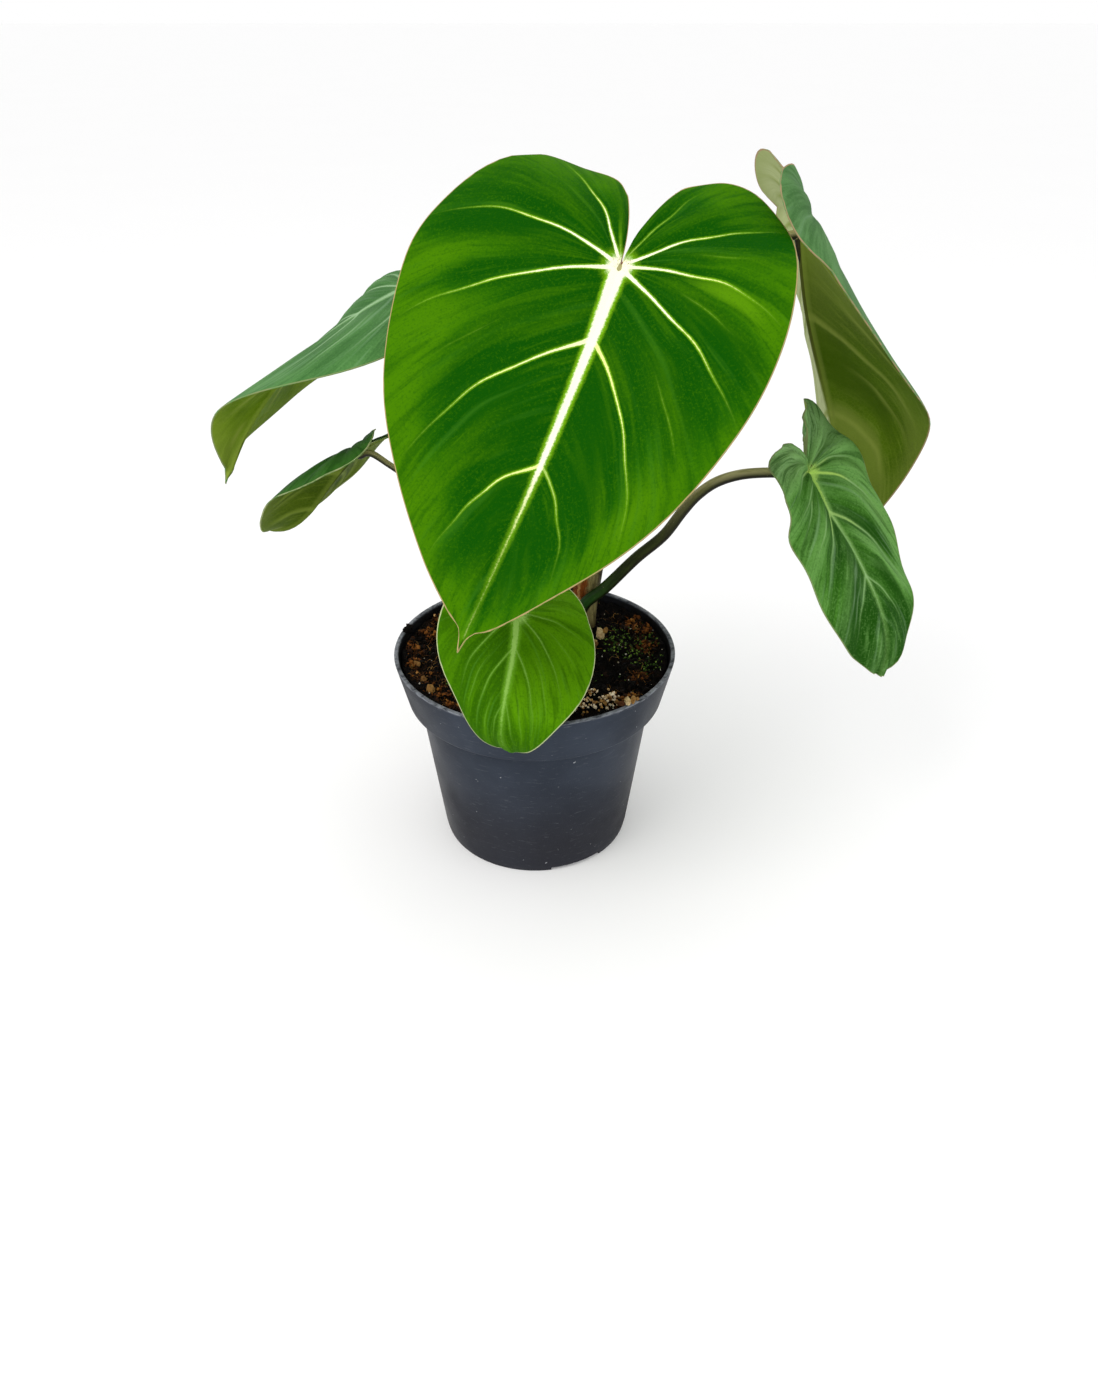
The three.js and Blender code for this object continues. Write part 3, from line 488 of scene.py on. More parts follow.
def flat_rows(leaf, half, phase, t, turns):
    """Flat points of the rows at these places between veins, each from the midrib to the margin."""
    veins, numbers, last = veins_of(leaf, half)
    station, origin, angle, reach = (glide(numbers, veins[:, k], phase) for k in range(4))
    root_y = np.where(phase <= last, 0, np.maximum(origin, 0)) * leaf["length"]
    outline = outline_of(leaf, half)
    end = glide(np.arange(len(outline)), outline, station)
    root = np.stack([0 * root_y, root_y], -1)
    pull = np.hypot(*(end - root).T) * reach
    angle = np.radians(angle)
    middle = root + np.stack([np.sin(angle), np.cos(angle)], -1) * pull[:, None]
    s = t[None, :, None]
    flat = (1 - s) ** 2 * root[:, None] + 2 * s * (1 - s) * middle[:, None] + s * s * end[:, None]
    turn = glide(numbers, turns[:len(veins)], phase)[:, None]
    free = (smooth(phase, 0, 1) * smooth(len(veins) - 1 - phase, 0, 1))[:, None]
    sway = 0.55 * np.sin(8 * t[None] + turn) + 0.28 * np.sin(19 * t[None] + 2.3 * turn)
    sway = sway * free * np.sin(np.pi * t[None]) * leaf["length"] / LEAVES["leaf_large"]["length"]
    run = unit(np.gradient(flat, axis=1), 1e-9)
    flat = flat + np.stack([-run[..., 1], run[..., 0]], -1) * sway[..., None]
    flat[..., 0] = np.maximum(flat[..., 0], 0)
    return flat


def distance_to_line(points, line):
    """Shortest distance of points to a flat line, and the share of the line where it is."""
    a, b = line[:-1], line[1:]
    d = b - a
    size = np.maximum((d**2).sum(-1), 1e-12)
    best = np.full(len(points), 1e9)
    where = np.zeros(len(points))
    for k in range(len(a)):
        s = np.clip(((points - a[k]) @ d[k]) / size[k], 0, 1)
        gap = np.hypot(*(points - a[k] - s[:, None] * d[k]).T)
        nearer = gap < best
        best = np.where(nearer, gap, best)
        where = np.where(nearer, (k + s) / len(a), where)
    return best, where


def nearest_vein(leaf, half, cloud, turns):
    """Distance of flat points to the edge of their nearest vein, and how strongly that one shows."""
    veins, numbers, _ = veins_of(leaf, half)
    main = [(k, 0.0, 1.0, veins[k, 4]) for k in numbers[1:-1]]
    vein = np.full(len(cloud), NO_VEIN)
    weight = np.zeros(len(cloud))
    run = np.linspace(0, 1, VEIN_STEPS)
    for place, start, stop, strength in (*main, *leaf["minor"][half]):
        line = flat_rows(leaf, half, np.array([float(place)]), start + (stop - start) * run, turns)[0]
        gap, where = distance_to_line(cloud, line)
        reach = strength * leaf["rib"] * (0.26 * (1 - where) ** 2.2 + 0.34 * np.exp(-where / 0.05) + 0.02)
        if start == 0.0:
            fade = strength * (1 - smooth(where, 0.2, 1.1))
        else:
            fade = strength * np.sin(np.pi * where) ** 2
        edge = gap - reach
        nearer = edge < vein
        vein = np.where(nearer, edge, vein)
        weight = np.where(nearer, fade, weight)
    return vein, weight


def sheet_rise(leaf, half, phase, t):
    """Waves of the margin and swells between the veins, as heights over the plain sheet."""
    veins, numbers, _ = veins_of(leaf, half)
    station = glide(numbers, veins[:, 0], phase)[:, None]
    wave = leaf["wave"][0] * t[None] ** 3 * np.sin(leaf["wave"][1] * station / 2 + half * 2)
    puff = leaf["puff"] * leaf["quilt"] * (np.sin(np.pi * (phase % 1)) ** 2)[:, None]
    puff = puff * np.sin(np.pi * t[None] ** 0.8)
    rise = wave * np.minimum(station / 2, 1) + puff
    rise[0] = 0
    return rise


def half_leaf(leaf, half):
    """Grid of one half of a blade with what its finish needs to know at every point."""
    veins, _, last = veins_of(leaf, half)
    steady = np.arange((len(veins) - 1) * leaf["rows"] + 1) / leaf["rows"]
    phase = steady - ROW_PULL * np.sin(2 * np.pi * steady) / (2 * np.pi)
    t = (np.arange(leaf["columns"] + 1) / leaf["columns"]) ** COLUMN_PULL
    rng = np.random.default_rng(leaf["seed"] + SECOND_HALF_SEED * half)
    turns = rng.uniform(0, ANY_ANGLE, MOST_VEINS)
    flat = flat_rows(leaf, half, phase, t, turns)
    shape = flat.shape[:2]
    cloud = flat.reshape(-1, 2)
    vein, weight = nearest_vein(leaf, half, cloud, turns)
    gap, where = distance_to_line(cloud, np.array([(0, 0), (0, leaf["length"])], float))
    rib = gap - leaf["rib"] * glide(RIB_STATIONS, RIB_WIDTHS, where)
    edge, _ = distance_to_line(cloud, np.concatenate([flat[0], flat[1:, -1]])[::2])
    # Painted shade in the hollows of the quilted sheet, and painted light where a spot's depth is negative
    hollow = np.zeros(shape)
    for place, share, wide, long, depth in leaf["painted_light_and_shade"][half]:
        away = ((phase[:, None] - place) / wide) ** 2 + ((t[None] - share) / long) ** 2
        hollow += depth * np.exp(-away / 2)
    return dict(
        points=bend(leaf, half, flat), rise=np.where(flat[..., 0] > 0, sheet_rise(leaf, half, phase, t), 0),
        vein=vein.reshape(shape), weight=weight.reshape(shape), rib=rib.reshape(shape),
        edge=edge.reshape(shape), heart=np.hypot(flat[..., 0], flat[..., 1]), hollow=hollow,
        phase=np.broadcast_to(phase[:, None], shape) + SECOND_HALF_PHASE * half,
        run=np.broadcast_to(t[None], shape), along=flat[..., 1] / leaf["length"],
        pale=np.full(shape, leaf["pale"][half]), fan=last * leaf["rows"],
    )


# What a leaf's finish reads at a face's corners, and what its shape takes from each point. Two of the facts
# carry painted shade and light: the spots of the quilted sheet and the pale half.
CORNER_FACTS = ("vein", "weight", "rib", "edge", "heart", "phase", "run", "along", "pale", "hollow")
POINT_FACTS = ("vein", "rib", "edge", "weight", "along", "rise")
# Order of a quad's corners that turns its face over
TURNED = [0, 3, 2, 1]


def corners_of(grid):
    """The four corners of every cell of a grid, in their order round the cell."""
    return np.stack([grid[:-1, :-1], grid[:-1, 1:], grid[1:, 1:], grid[1:, :-1]], -1).reshape(-1, 4)


def band(first, second):
    """Quads between two closed loops of as many points."""
    return np.stack([np.roll(first, -1), first, second, np.roll(second, -1)], -1)


def normals_of(points, quads):
    """Unit normal at every point of a sheet of quads."""
    normals = np.zeros_like(points)
    for k in ((0, 1, 2), (0, 2, 3)):
        p = points[quads[:, k]]
        n = np.cross(p[:, 1] - p[:, 0], p[:, 2] - p[:, 0])
        for c in k:
            np.add.at(normals, quads[:, c], n)
    return unit(normals, 1e-12)


def shared_grids(halves):
    """Point numbers of both halves, which share the midrib and the tip. Point 0 is the junction."""
    grids = []
    shared = {}
    count = 1
    for half in halves:
        rows, columns = half["vein"].shape
        grid = np.zeros((rows, columns), int)
        for i in range(rows):
            for j in range(1 if i <= half["fan"] else 0, columns):
                key = ("midrib", rows - 1 - i) if j == 0 else ("tip", j) if i == rows - 1 else None
                if key in shared:
                    grid[i, j] = shared[key]
                    continue
                if key:
                    shared[key] = count
                grid[i, j] = count
                count += 1
        grids.append(grid)
    return grids, count


def blade_mesh(name, leaf, thickness):
    """A blade with an upper face, a lower face with raised veins, and a rounded margin."""
    halves = [half_leaf(leaf, half) for half in (0, 1)]
    grids, count = shared_grids(halves)
    first, second = grids
    points = np.zeros((count, 3))
    facts = {key: np.zeros(count) for key in POINT_FACTS}
    for half, grid in zip(halves, grids):
        points[grid] = half["points"]
        for key in facts:
            facts[key][grid] = half[key]
    points[0] = leaf["junction"]
    quads = np.concatenate([corners_of(first), corners_of(second)[:, TURNED]])
    values = [np.stack([corners_of(half[key]) for key in CORNER_FACTS], -1) for half in halves]
    corners = np.concatenate([values[0], values[1][:, TURNED]])
    fan = (quads[:, 0] == quads[:, 3]) | (quads[:, 0] == quads[:, 1])
    fan_order = np.where((quads[:, 0] == quads[:, 3])[:, None], [0, 1, 2], [0, 2, 3])

    points += normals_of(points, quads) * facts["rise"][:, None]
    normals = normals_of(points, quads)
    body = smooth(facts["edge"], 0, 2.5)
    half_thick = (thickness * (MARGIN_THICK + BODY_THICK * body))[:, None]
    rib_depth = leaf["rib"] * RIB_DEPTH * falloff(facts["rib"], 0.5)
    rib_depth *= smooth(facts["edge"], 0, 3) * (facts["along"] > -0.2)
    ridge = VEIN_RIDGE * facts["weight"] * falloff(facts["vein"], 0.25)
    groove = VEIN_GROOVE * facts["weight"] * falloff(facts["vein"], 1.2)
    swell = RIB_SWELL * leaf["rib"] * falloff(facts["rib"], 0.6) * body
    top = points + normals * (half_thick + (swell - groove)[:, None])
    low = points - normals * (half_thick + np.maximum(rib_depth, ridge)[:, None])

    loop = np.concatenate([first[0, :], first[1:, -1], second[-2::-1, -1], second[0, -2:0:-1]])
    inner = np.concatenate([first[1, :], first[1:, -2], second[-2::-1, -2], second[1, -2:0:-1]])
    outward = points[loop] - points[inner]
    outward -= normals[loop] * (outward * normals[loop]).sum(-1, keepdims=True)
    outward = unit(outward, 1e-9)
    outward[0] = 0
    rim = points[loop] + outward * thickness * 0.1
    rim_numbers = 2 * count + np.arange(len(loop))

    whole = quads[~fan]
    split = np.take_along_axis(quads[fan], fan_order[fan], 1)
    parts = [
        whole, split, whole[:, ::-1] + count, split[:, ::-1] + count, band(loop, rim_numbers),
        band(rim_numbers, loop + count),
    ]
    faces = [face for part in parts for face in part.tolist()]
    mesh = bpy.data.meshes.new(name)
    cloud = np.clip(np.concatenate([top, low, rim]) * MM, *CAD_BOX)
    mesh.from_pydata(cloud.tolist(), [], faces)
    whole_facts = corners[~fan]
    split_facts = np.take_along_axis(corners[fan], fan_order[fan][..., None], 1)
    strip = np.zeros((2 * len(loop), 4, len(CORNER_FACTS)))
    strip[..., [CORNER_FACTS.index(key) for key in ("vein", "rib", "heart")]] = RIM_FAR
    table = np.concatenate([
        part.reshape(-1, len(CORNER_FACTS))
        for part in (whole_facts, split_facts, whole_facts[:, ::-1], split_facts[:, ::-1], strip)
    ])
    for k, key in enumerate(CORNER_FACTS):
        mesh.attributes.new(key, "FLOAT", "CORNER").data.foreach_set("value", table[:, k].astype(np.float32))
    sheet = len(whole) + len(split)
    mesh.polygons.foreach_set("material_index", np.repeat([0, 1, 2], [sheet, sheet, 2 * len(loop)]))
    mesh.polygons.foreach_set("use_smooth", np.ones(len(faces), bool))
    mesh.update()
    return mesh


def rounded_path(route, count):
    """Evenly spaced points of a centripetal curve through a route, with their shares."""
    p = np.array(route, float)
    p = np.concatenate([[2 * p[0] - p[1]], p, [2 * p[-1] - p[-2]]])
    fine = []
    for i in range(1, len(p) - 2):
        p0, p1, p2, p3 = p[i - 1:i + 3]
        d0, d1, d2 = (np.linalg.norm(b - a) ** 0.5 for a, b in ((p0, p1), (p1, p2), (p2, p3)))
        m1 = ((p1 - p0) / d0 - (p2 - p0) / (d0 + d1) + (p2 - p1) / d1) * d1
        m2 = ((p2 - p1) / d1 - (p3 - p1) / (d1 + d2) + (p3 - p2) / d2) * d1
        s = np.linspace(0, 1, CURVE_STEPS, endpoint=i == len(p) - 3)[:, None]
        fine.append(hermite(s, p1, m1, p2, m2))
    fine = np.concatenate(fine)
    run = np.concatenate([[0], np.cumsum(np.linalg.norm(np.diff(fine, axis=0), axis=1))])
    at = np.linspace(0, 1, count)
    return along_path(at * run[-1], run, fine), at


def ring_quads(count, sides):
    """Point numbers of rings one after the other, those next round each ring, and the quads between."""
    grid = np.arange(count * sides).reshape(count, sides)
    after = np.roll(grid, -1, axis=1)
    return grid, after, np.stack([grid[:-1], after[:-1], after[1:], grid[1:]], -1).reshape(-1, 4)


def ring_points(radii, angle, heights):
    """Level rings about the upright axis, with one height a ring."""
    x, y = radii[:, None] * np.cos(angle), radii[:, None] * np.sin(angle)
    return np.stack(np.broadcast_arrays(x, y, heights[:, None]), -1)


def capped_rings(rings, first, last, turned=False):
    """Closed body of rings, with the height of a middle point at either end. turned flips its faces."""
    count, sides = rings.shape[:2]
    points = np.concatenate([rings.reshape(-1, 3), [(0, 0, first), (0, 0, last)]])
    grid, after, quads = ring_quads(count, sides)
    if turned:
        grid, after, quads = after, grid, quads[:, TURNED]
    low, high = len(points) - 2, len(points) - 1
    faces = quads.tolist()
    faces += [[low, after[0, j], grid[0, j]] for j in range(sides)]
    faces += [[high, grid[-1, j], after[-1, j]] for j in range(sides)]
    return points, faces


def tube(points, radii, sides, wobble=None):
    """Rings of points round a path, closed at both ends. wobble scales the radius round a ring."""
    tangent = np.gradient(points, axis=0)
    tangent /= np.linalg.norm(tangent, axis=1, keepdims=True)
    side = np.cross(tangent[0], (0.3, 1, 0.1))
    side /= np.linalg.norm(side)
    rings = []
    angle = 2 * np.pi * np.arange(sides) / sides
    for i, (centre, forward) in enumerate(zip(points, tangent)):
        side = side - forward * side.dot(forward)
        side /= np.linalg.norm(side)
        other = np.cross(forward, side)
        radius = radii[i] * (1 if wobble is None else wobble(i, angle))
        radius = np.broadcast_to(radius, angle.shape)[:, None]
        rings.append(centre + (np.cos(angle)[:, None] * side + np.sin(angle)[:, None] * other) * radius)
    grid, _, quads = ring_quads(len(points), sides)
    return np.concatenate(rings), [*quads.tolist(), grid[0, ::-1].tolist(), grid[-1].tolist()]


def make_piece(name, points, faces, finishes, replaced=(), values=None, flat=False):
    """A new piece on the plant's one body, from points in millimetres."""
    mesh = bpy.data.meshes.new(name)
    mesh.from_pydata((np.asarray(points, float) * MM).tolist(), [], faces)
    mesh.polygons.foreach_set("use_smooth", np.full(len(mesh.polygons), not flat))
    for key, data in (values or {}).items():
        mesh.attributes.new(key, "FLOAT", "POINT").data.foreach_set("value", np.asarray(data, np.float32))
    mesh.update()
    return place_piece(name, mesh, finishes, replaced)


def place_piece(name, mesh, finishes, replaced=()):
    piece = bpy.data.objects.new(name, mesh)
    bpy.context.scene.collection.objects.link(piece)
    for finish in finishes:
        mesh.materials.append(finish)
    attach(piece, "root")
    if replaced:
        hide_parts(*replaced)
    return piece


def soil_height(x, y):
    """Height of the soil's low mound and its clods."""
    inside = 1 - np.minimum(np.hypot(x, y) / 60, 1) ** 4
    clods = 0.9 * np.sin(x * 0.31 + 1.3 * np.sin(y * 0.17)) * np.cos(y * 0.27 - 0.6)
    clods = clods + 0.5 * np.sin(x * 0.83 - y * 0.46) * np.sin(y * 0.71 + 1.1)
    banked = 2.6 * smooth(np.hypot(x, y), 49, 56)
    return SOIL_LEVEL + 2.2 * inside + banked + clods * (0.3 + 0.7 * inside)


def soil_relief(x, y):
    """Rough lumps of the soil's surface at one place."""
    place = Vector((x, y, 3.7))
    rough = 0.9 * noise.noise(place * 0.16) + 0.75 * noise.noise(place * 0.37)
    rough += 0.5 * noise.noise(place * 0.8) + 0.3 * noise.noise(place * 1.7)
    return rough * 1.25


class Finish:
    """Builds one procedural material, node by node. Its colour is laid on in coats."""

    def __init__(self, name, colour=None):
        self.colour = colour
        self.material = bpy.data.materials.new(name)
        self.material.use_nodes = True
        self.tree = self.material.node_tree
        self.tree.nodes.clear()
        self.shader = self.node("ShaderNodeBsdfPrincipled")
        output = self.node("ShaderNodeOutputMaterial")
        self.tree.links.new(self.shader.outputs[0], output.inputs[0])
        self.place = self.node("ShaderNodeTexCoord").outputs["Object"]

    def node(self, kind, values=(), **settings):
        """A new node whose first inputs take the values."""
        made = self.tree.nodes.new(kind)
        for key, value in settings.items():
            setattr(made, key, value)
        for socket, value in zip(made.inputs, values):
            self.feed(socket, value)
        return made

    def feed(self, socket, value):
        """Links a socket, or sets it to a number, a colour or a colour's code."""
        if isinstance(value, str):
            value = shade(value)
        if isinstance(value, bpy.types.NodeSocket):
            self.tree.links.new(value, socket)
        elif hasattr(value, "__len__") and len(value) == 3 and socket.type == "RGBA":
            socket.default_value = (*value, 1)
        else:
            socket.default_value = value

    def fact(self, name):
        return self.node("ShaderNodeAttribute", attribute_name=name).outputs["Fac"]

    def facts(self, *names):
        return [self.fact(name) for name in names]

    def calc(self, kind, *values):
        return self.node("ShaderNodeMath", values, operation=kind).outputs[0]

    def plus(self, first, second):
        return self.calc("ADD", first, second)

    def times(self, first, second):
        return self.calc("MULTIPLY", first, second)

    def scaled(self, value, factor, offset):
        """The value times a factor, plus an offset."""
        return self.calc("MULTIPLY_ADD", value, factor, offset)

    def off(self, value, middle):
        """How far a value is from the middle, on either side."""
        return self.calc("ABSOLUTE", self.calc("SUBTRACT", value, middle))

    def most(self, first, *others):
        for other in others:
            first = self.calc("MAXIMUM", first, other)
        return first

    def span(self, value, low, high, start=0.0, stop=1.0):
        """Goes smoothly from start to stop as the value goes from low to high."""
        values = (value, low, high, start, stop)
        return self.node("ShaderNodeMapRange", values, interpolation_type="SMOOTHSTEP").outputs[0]

    def mix(self, amount, first, second):
        made = self.node("ShaderNodeMix", data_type="RGBA", blend_type="MIX")
        for key, value in ((0, amount), (6, first), (7, second)):
            self.feed(made.inputs[key], value)
        return made.outputs[2]

    def coat(self, amount, colour):
        self.colour = self.mix(amount, self.colour, colour)

    def coats(self, *rows):
        """Coats whose amount follows a value from low to high: value, low, high, amount, colour."""
        for value, low, high, amount, colour in rows:
            self.coat(self.span(value, low, high, 0.0, amount), colour)

    def vector(self, *parts):
        return self.node("ShaderNodeCombineXYZ", parts).outputs[0]

    def split(self, vector):
        return self.node("ShaderNodeSeparateXYZ", [vector]).outputs

    def grain(self, across, across_scale, along, along_scale, third=0.0):
        """Place for a noise that is drawn out along one of two facts."""
        return self.vector(self.times(across, across_scale), self.times(along, along_scale), third)

    def noise(self, scale, detail=3.0, rough=0.55, bend=0.0, place=None):
        made = self.node("ShaderNodeTexNoise")
        self.feed(made.inputs["Vector"], place or self.place)
        for key, value in (("Scale", scale), ("Detail", detail), ("Roughness", rough), ("Distortion", bend)):
            self.feed(made.inputs[key], value)
        return made.outputs["Fac"]

    def net(self, scale):
        """Distance to the threads of a net."""
        made = self.node("ShaderNodeTexVoronoi", feature="DISTANCE_TO_EDGE")
        self.feed(made.inputs["Vector"], self.place)
        self.feed(made.inputs["Scale"], scale)
        return made.outputs["Distance"]

    def steps(self, value, stops):
        """Colour by a value, from a list of (value, colour's code)."""
        made = self.node("ShaderNodeValToRGB", [value])
        ramp = made.color_ramp
        while len(ramp.elements) < len(stops):
            ramp.elements.new(0.5)
        for element, (at, code) in zip(ramp.elements, stops):
            element.position = at
            element.color = (*shade(code), 1)
        return made.outputs[0]

    def finish(self, rough, height=None, relief=0.2, **constants):
        """Feeds the shader. relief is the height of the bumps in millimetres."""
        self.feed(self.shader.inputs["Base Color"], self.colour)
        self.feed(self.shader.inputs["Roughness"], rough)
        if height is not None:
            bump = self.node("ShaderNodeBump")
            for key, value in (("Strength", 1.0), ("Distance", relief * MM), ("Height", height)):
                self.feed(bump.inputs[key], value)
            self.tree.links.new(bump.outputs[0], self.shader.inputs["Normal"])
        for key, value in constants.items():
            name = key.replace("_", " ").title().replace("Ior", "IOR")
            self.feed(self.shader.inputs[name], value)
        return self.material


def leaf_upper(kind, c, depth):
    """Velvety upper face: pale veins with a soft glow, fine streaks beside them and a pale margin, with
    painted shade in the hollows and valleys, painted light on the swells and crowns, painted light and shade
    on the lobes and halves, and a painted bluish sheen. depth sets the strength of the painted shade.
    """
    f = Finish(f"{kind}_upper", c["deep"])
    phase, run, along, hollow = f.facts("phase", "run", "along", "hollow")
    vein, weight, rib, edge, heart = f.facts("vein", "weight", "rib", "edge", "heart")
    across, whole, lobes, tip, first, second = c["tones"]
    streaks = f.grain(phase, 9.0, run, 1.4)
    streak = f.noise(1.6, 4.0, 0.6, place=streaks)
    hair = f.noise(1.6, 3.0, 0.7, place=f.grain(phase, 46.0, run, 3.0))
    broad = f.noise(1.4, 2.0, 0.5, place=f.grain(phase, 4.2, run, 1.3))
    fine = f.noise(1100.0, 3.0, 0.75)

    # Lightness of the green: the leaf's own rise towards the margin and random patches, with painted shade in
    # the hollows, painted light and shade on the lobes and on each half, and a shift at the tip
    ends = f.plus(f.span(along, 0.05, -0.2, whole, whole + lobes), f.span(along, 0.55, 0.9, 0.0, tip))
    light = f.scaled(run, across, f.scaled(hollow, -0.4 * depth, ends))
    light = f.scaled(f.noise(42.0, 2.0), 0.5, light)
    light = f.plus(light, f.span(phase, 10.0, 12.0, first, second))
    f.coats(
        (light, 0.42, 0.88, 1.0, c["mid"]),
        (light, 0.7, 1.05, 0.85, c["warm"]),
        # Painted light on the lobes, in the colour of the middling veins
        (along, 0.05, -0.2, max(0.0, 0.8 * lobes), c["near"]),
    )
    # Painted shade in the valleys beside the veins and painted light on the crowns between them
    between = f.calc("PINGPONG", phase, 0.5)
    valley_shade = f.times(f.span(between, 0.3, 0.06), f.span(run, 0.85, 0.2))
    f.coat(f.times(valley_shade, 0.45 * depth), c["deep"])
    crown_light = f.times(f.span(between, 0.26, 0.48), f.span(run, 0.15, 0.5))
    f.coat(f.times(crown_light, 0.3), c["warm"])
    f.coats(
        # Broad patches along the gaps: partly the leaf's own mottling, partly painted shade and light of the
        # quilting
        (broad, 0.5, 0.68, 0.6 * depth, c["deep"]),
        (broad, 0.48, 0.32, 0.35, c["warm"]),
        (streak, 0.5, 0.3, 0.5, c["deep"]),
        (streak, 0.56, 0.76, 0.35, c["warm"]),
        (hair, 0.52, 0.74, 0.22, c["warm"]),
        (hair, 0.46, 0.28, 0.3, c["deep"]),
        (fine, 0.5, 0.68, 0.3, c["warm"]),
        (fine, 0.5, 0.32, 0.4, c["deep"]),
        # Painted shade in the hollows, and painted light in the glow colour on the swells
        (hollow, 0.35, 1.1, 0.6 * depth, c["deep"]),
        (hollow, -0.6, -1.2, 0.2, c["glow"]),
        # Painted bluish sheen in soft streaks
        (f.noise(0.7, 2.0, place=streaks), 0.54, 0.76, 0.35, c["painted_sheen"]),
    )

    fuzz = f.scaled(f.noise(1300.0, 3.0, 0.8), 1.6, -0.8)
    ragged = f.scaled(f.noise(260.0, 2.0), 0.5, -0.25)
    vein_edge = f.plus(f.scaled(fuzz, 0.35, f.times(ragged, 0.6)), vein)
    rib_edge = f.plus(f.plus(fuzz, ragged), rib)
    heart_edge = f.scaled(fuzz, 2.4, heart)
    show = f.times(weight, c["show"])
    rib_glow = f.times(f.span(rib_edge, 1.9, 0.0, 0.0, 0.85), f.span(along, 1.0, 0.3, 0.3, 1.0))
    vein_glow = f.times(f.span(vein_edge, 0.6 + c["soft"], 0.0), f.span(show, 0.0, 0.8, 0.0, 0.8))
    star_glow = f.times(f.span(heart_edge, 8.5, 3.0, 0.0, 0.9), c["show"])
    f.coat(f.most(star_glow, vein_glow, rib_glow), c["glow"])
    core = f.times(f.span(vein_edge, c["soft"], -0.08), f.span(show, 0.0, 0.7))
    strong = f.mix(f.span(weight, 0.8, 1.0), c["near"], c["vein"])
    f.coat(core, f.mix(f.span(weight, 0.35, 0.8), c["far"], strong))
    rib_core = f.times(f.span(rib_edge, 0.45, -0.4), f.span(along, 1.0, 0.55, 0.4, 1.0))
    star = f.times(f.span(heart_edge, 5.6, 3.0), f.span(along, -0.05, 0.0))
    rib_core = f.times(f.most(rib_core, star), 0.35 + 0.65 * c["show"])
    f.coat(rib_core, f.mix(f.span(along, *c["turn"]), c["vein"], c["near"]))
    specks = f.times(f.span(fine, 0.55, 0.62, 0.0, 0.8), f.span(heart, 5.0, 3.0))
    f.coat(f.times(specks, f.span(along, 0.0, -0.01)), "6a3420")
    f.coat(f.span(edge, 0.42, 0.2), f.mix(f.span(heart, 3.4, 1.4), c["margin"], "7a3022"))
    height = f.scaled(f.most(core, rib_core), 0.8, f.scaled(fine, 0.5, f.times(streak, 0.6)))
    return f.finish(f.span(fine, 0.3, 0.7, 0.6, 0.75), height, specular_ior_level=c["gloss"])


def leaf_lower(kind, c):
    """Dull lower face with raised paler veins and a fine net between them, painted shade in its hollows,
    painted light on its swells, and painted light in sage on a leaf's pale half.
    """
    f = Finish(f"{kind}_lower", c["under_deep"])
    phase, run, along, hollow = f.facts("phase", "run", "along", "hollow")
    vein, weight, rib, edge, pale = f.facts("vein", "weight", "rib", "edge", "pale")
    light = c["under_vein"]
    streak = f.noise(1.8, 4.0, 0.6, place=f.grain(phase, 7.0, run, 1.5))
    fine = f.noise(1100.0, 2.0, 0.7)
    f.coats(
        (f.scaled(f.noise(26.0, 2.0), 0.8, f.times(streak, 0.4)), 0.4, 0.8, 1.0, c["under"]),
        (f.net(620.0), 0.12, 0.02, 0.14, light),
        (streak, 0.52, 0.72, 0.35, light),
        # Painted shade in the hollows and painted light on the swells
        (hollow, 0.0, 1.0, 0.7, c["under_deep"]),
        (hollow, 0.0, -1.0, 0.6, light),
    )
    f.coat(f.most(f.span(along, 0.36, -0.05, 0.0, 0.6), f.span(along, 0.72, 0.95, 0.0, 0.45)), light)
    # Painted light: the pale half is lighter, in sage
    f.coat(f.times(pale, f.span(streak, 0.2, 0.7, 0.7, 0.95)), c["painted_light_sage"])
    f.coat(f.times(f.span(edge, 9.0, 0.5, 0.0, 0.35), f.span(along, 0.9, 0.7)), light)
    f.coat(f.times(f.span(vein, 2.0, -0.1), f.span(weight, 0.0, 0.6, 0.0, 0.85)), light)
    before = f.span(along, -0.03, 0.02)
    f.coat(f.times(f.span(rib, 1.5, 0.3, 0.0, 0.5), before), light)
    ridge = f.times(f.span(rib, -0.3, -0.7, 0.0, 0.8), before)
    f.coat(f.times(ridge, f.span(along, 0.6, 0.2, 0.12, 1.0)), c["under_rib"])
    f.coat(f.span(edge, 0.6, 0.25), c["margin"])
    height = f.scaled(fine, 0.4, f.times(streak, 0.5))
    return f.finish(f.span(fine, 0.3, 0.7, 0.55, 0.7), height, specular_ior_level=0.03)


def leaf_margin(kind, c):
    f = Finish(f"{kind}_margin", c["margin"])
    wear = f.noise(240.0, 3.0)
    f.coats((wear, 0.35, 0.65, 1.0, c["warm"]))
    return f.finish(0.6, wear, 0.1, specular_ior_level=0.1)


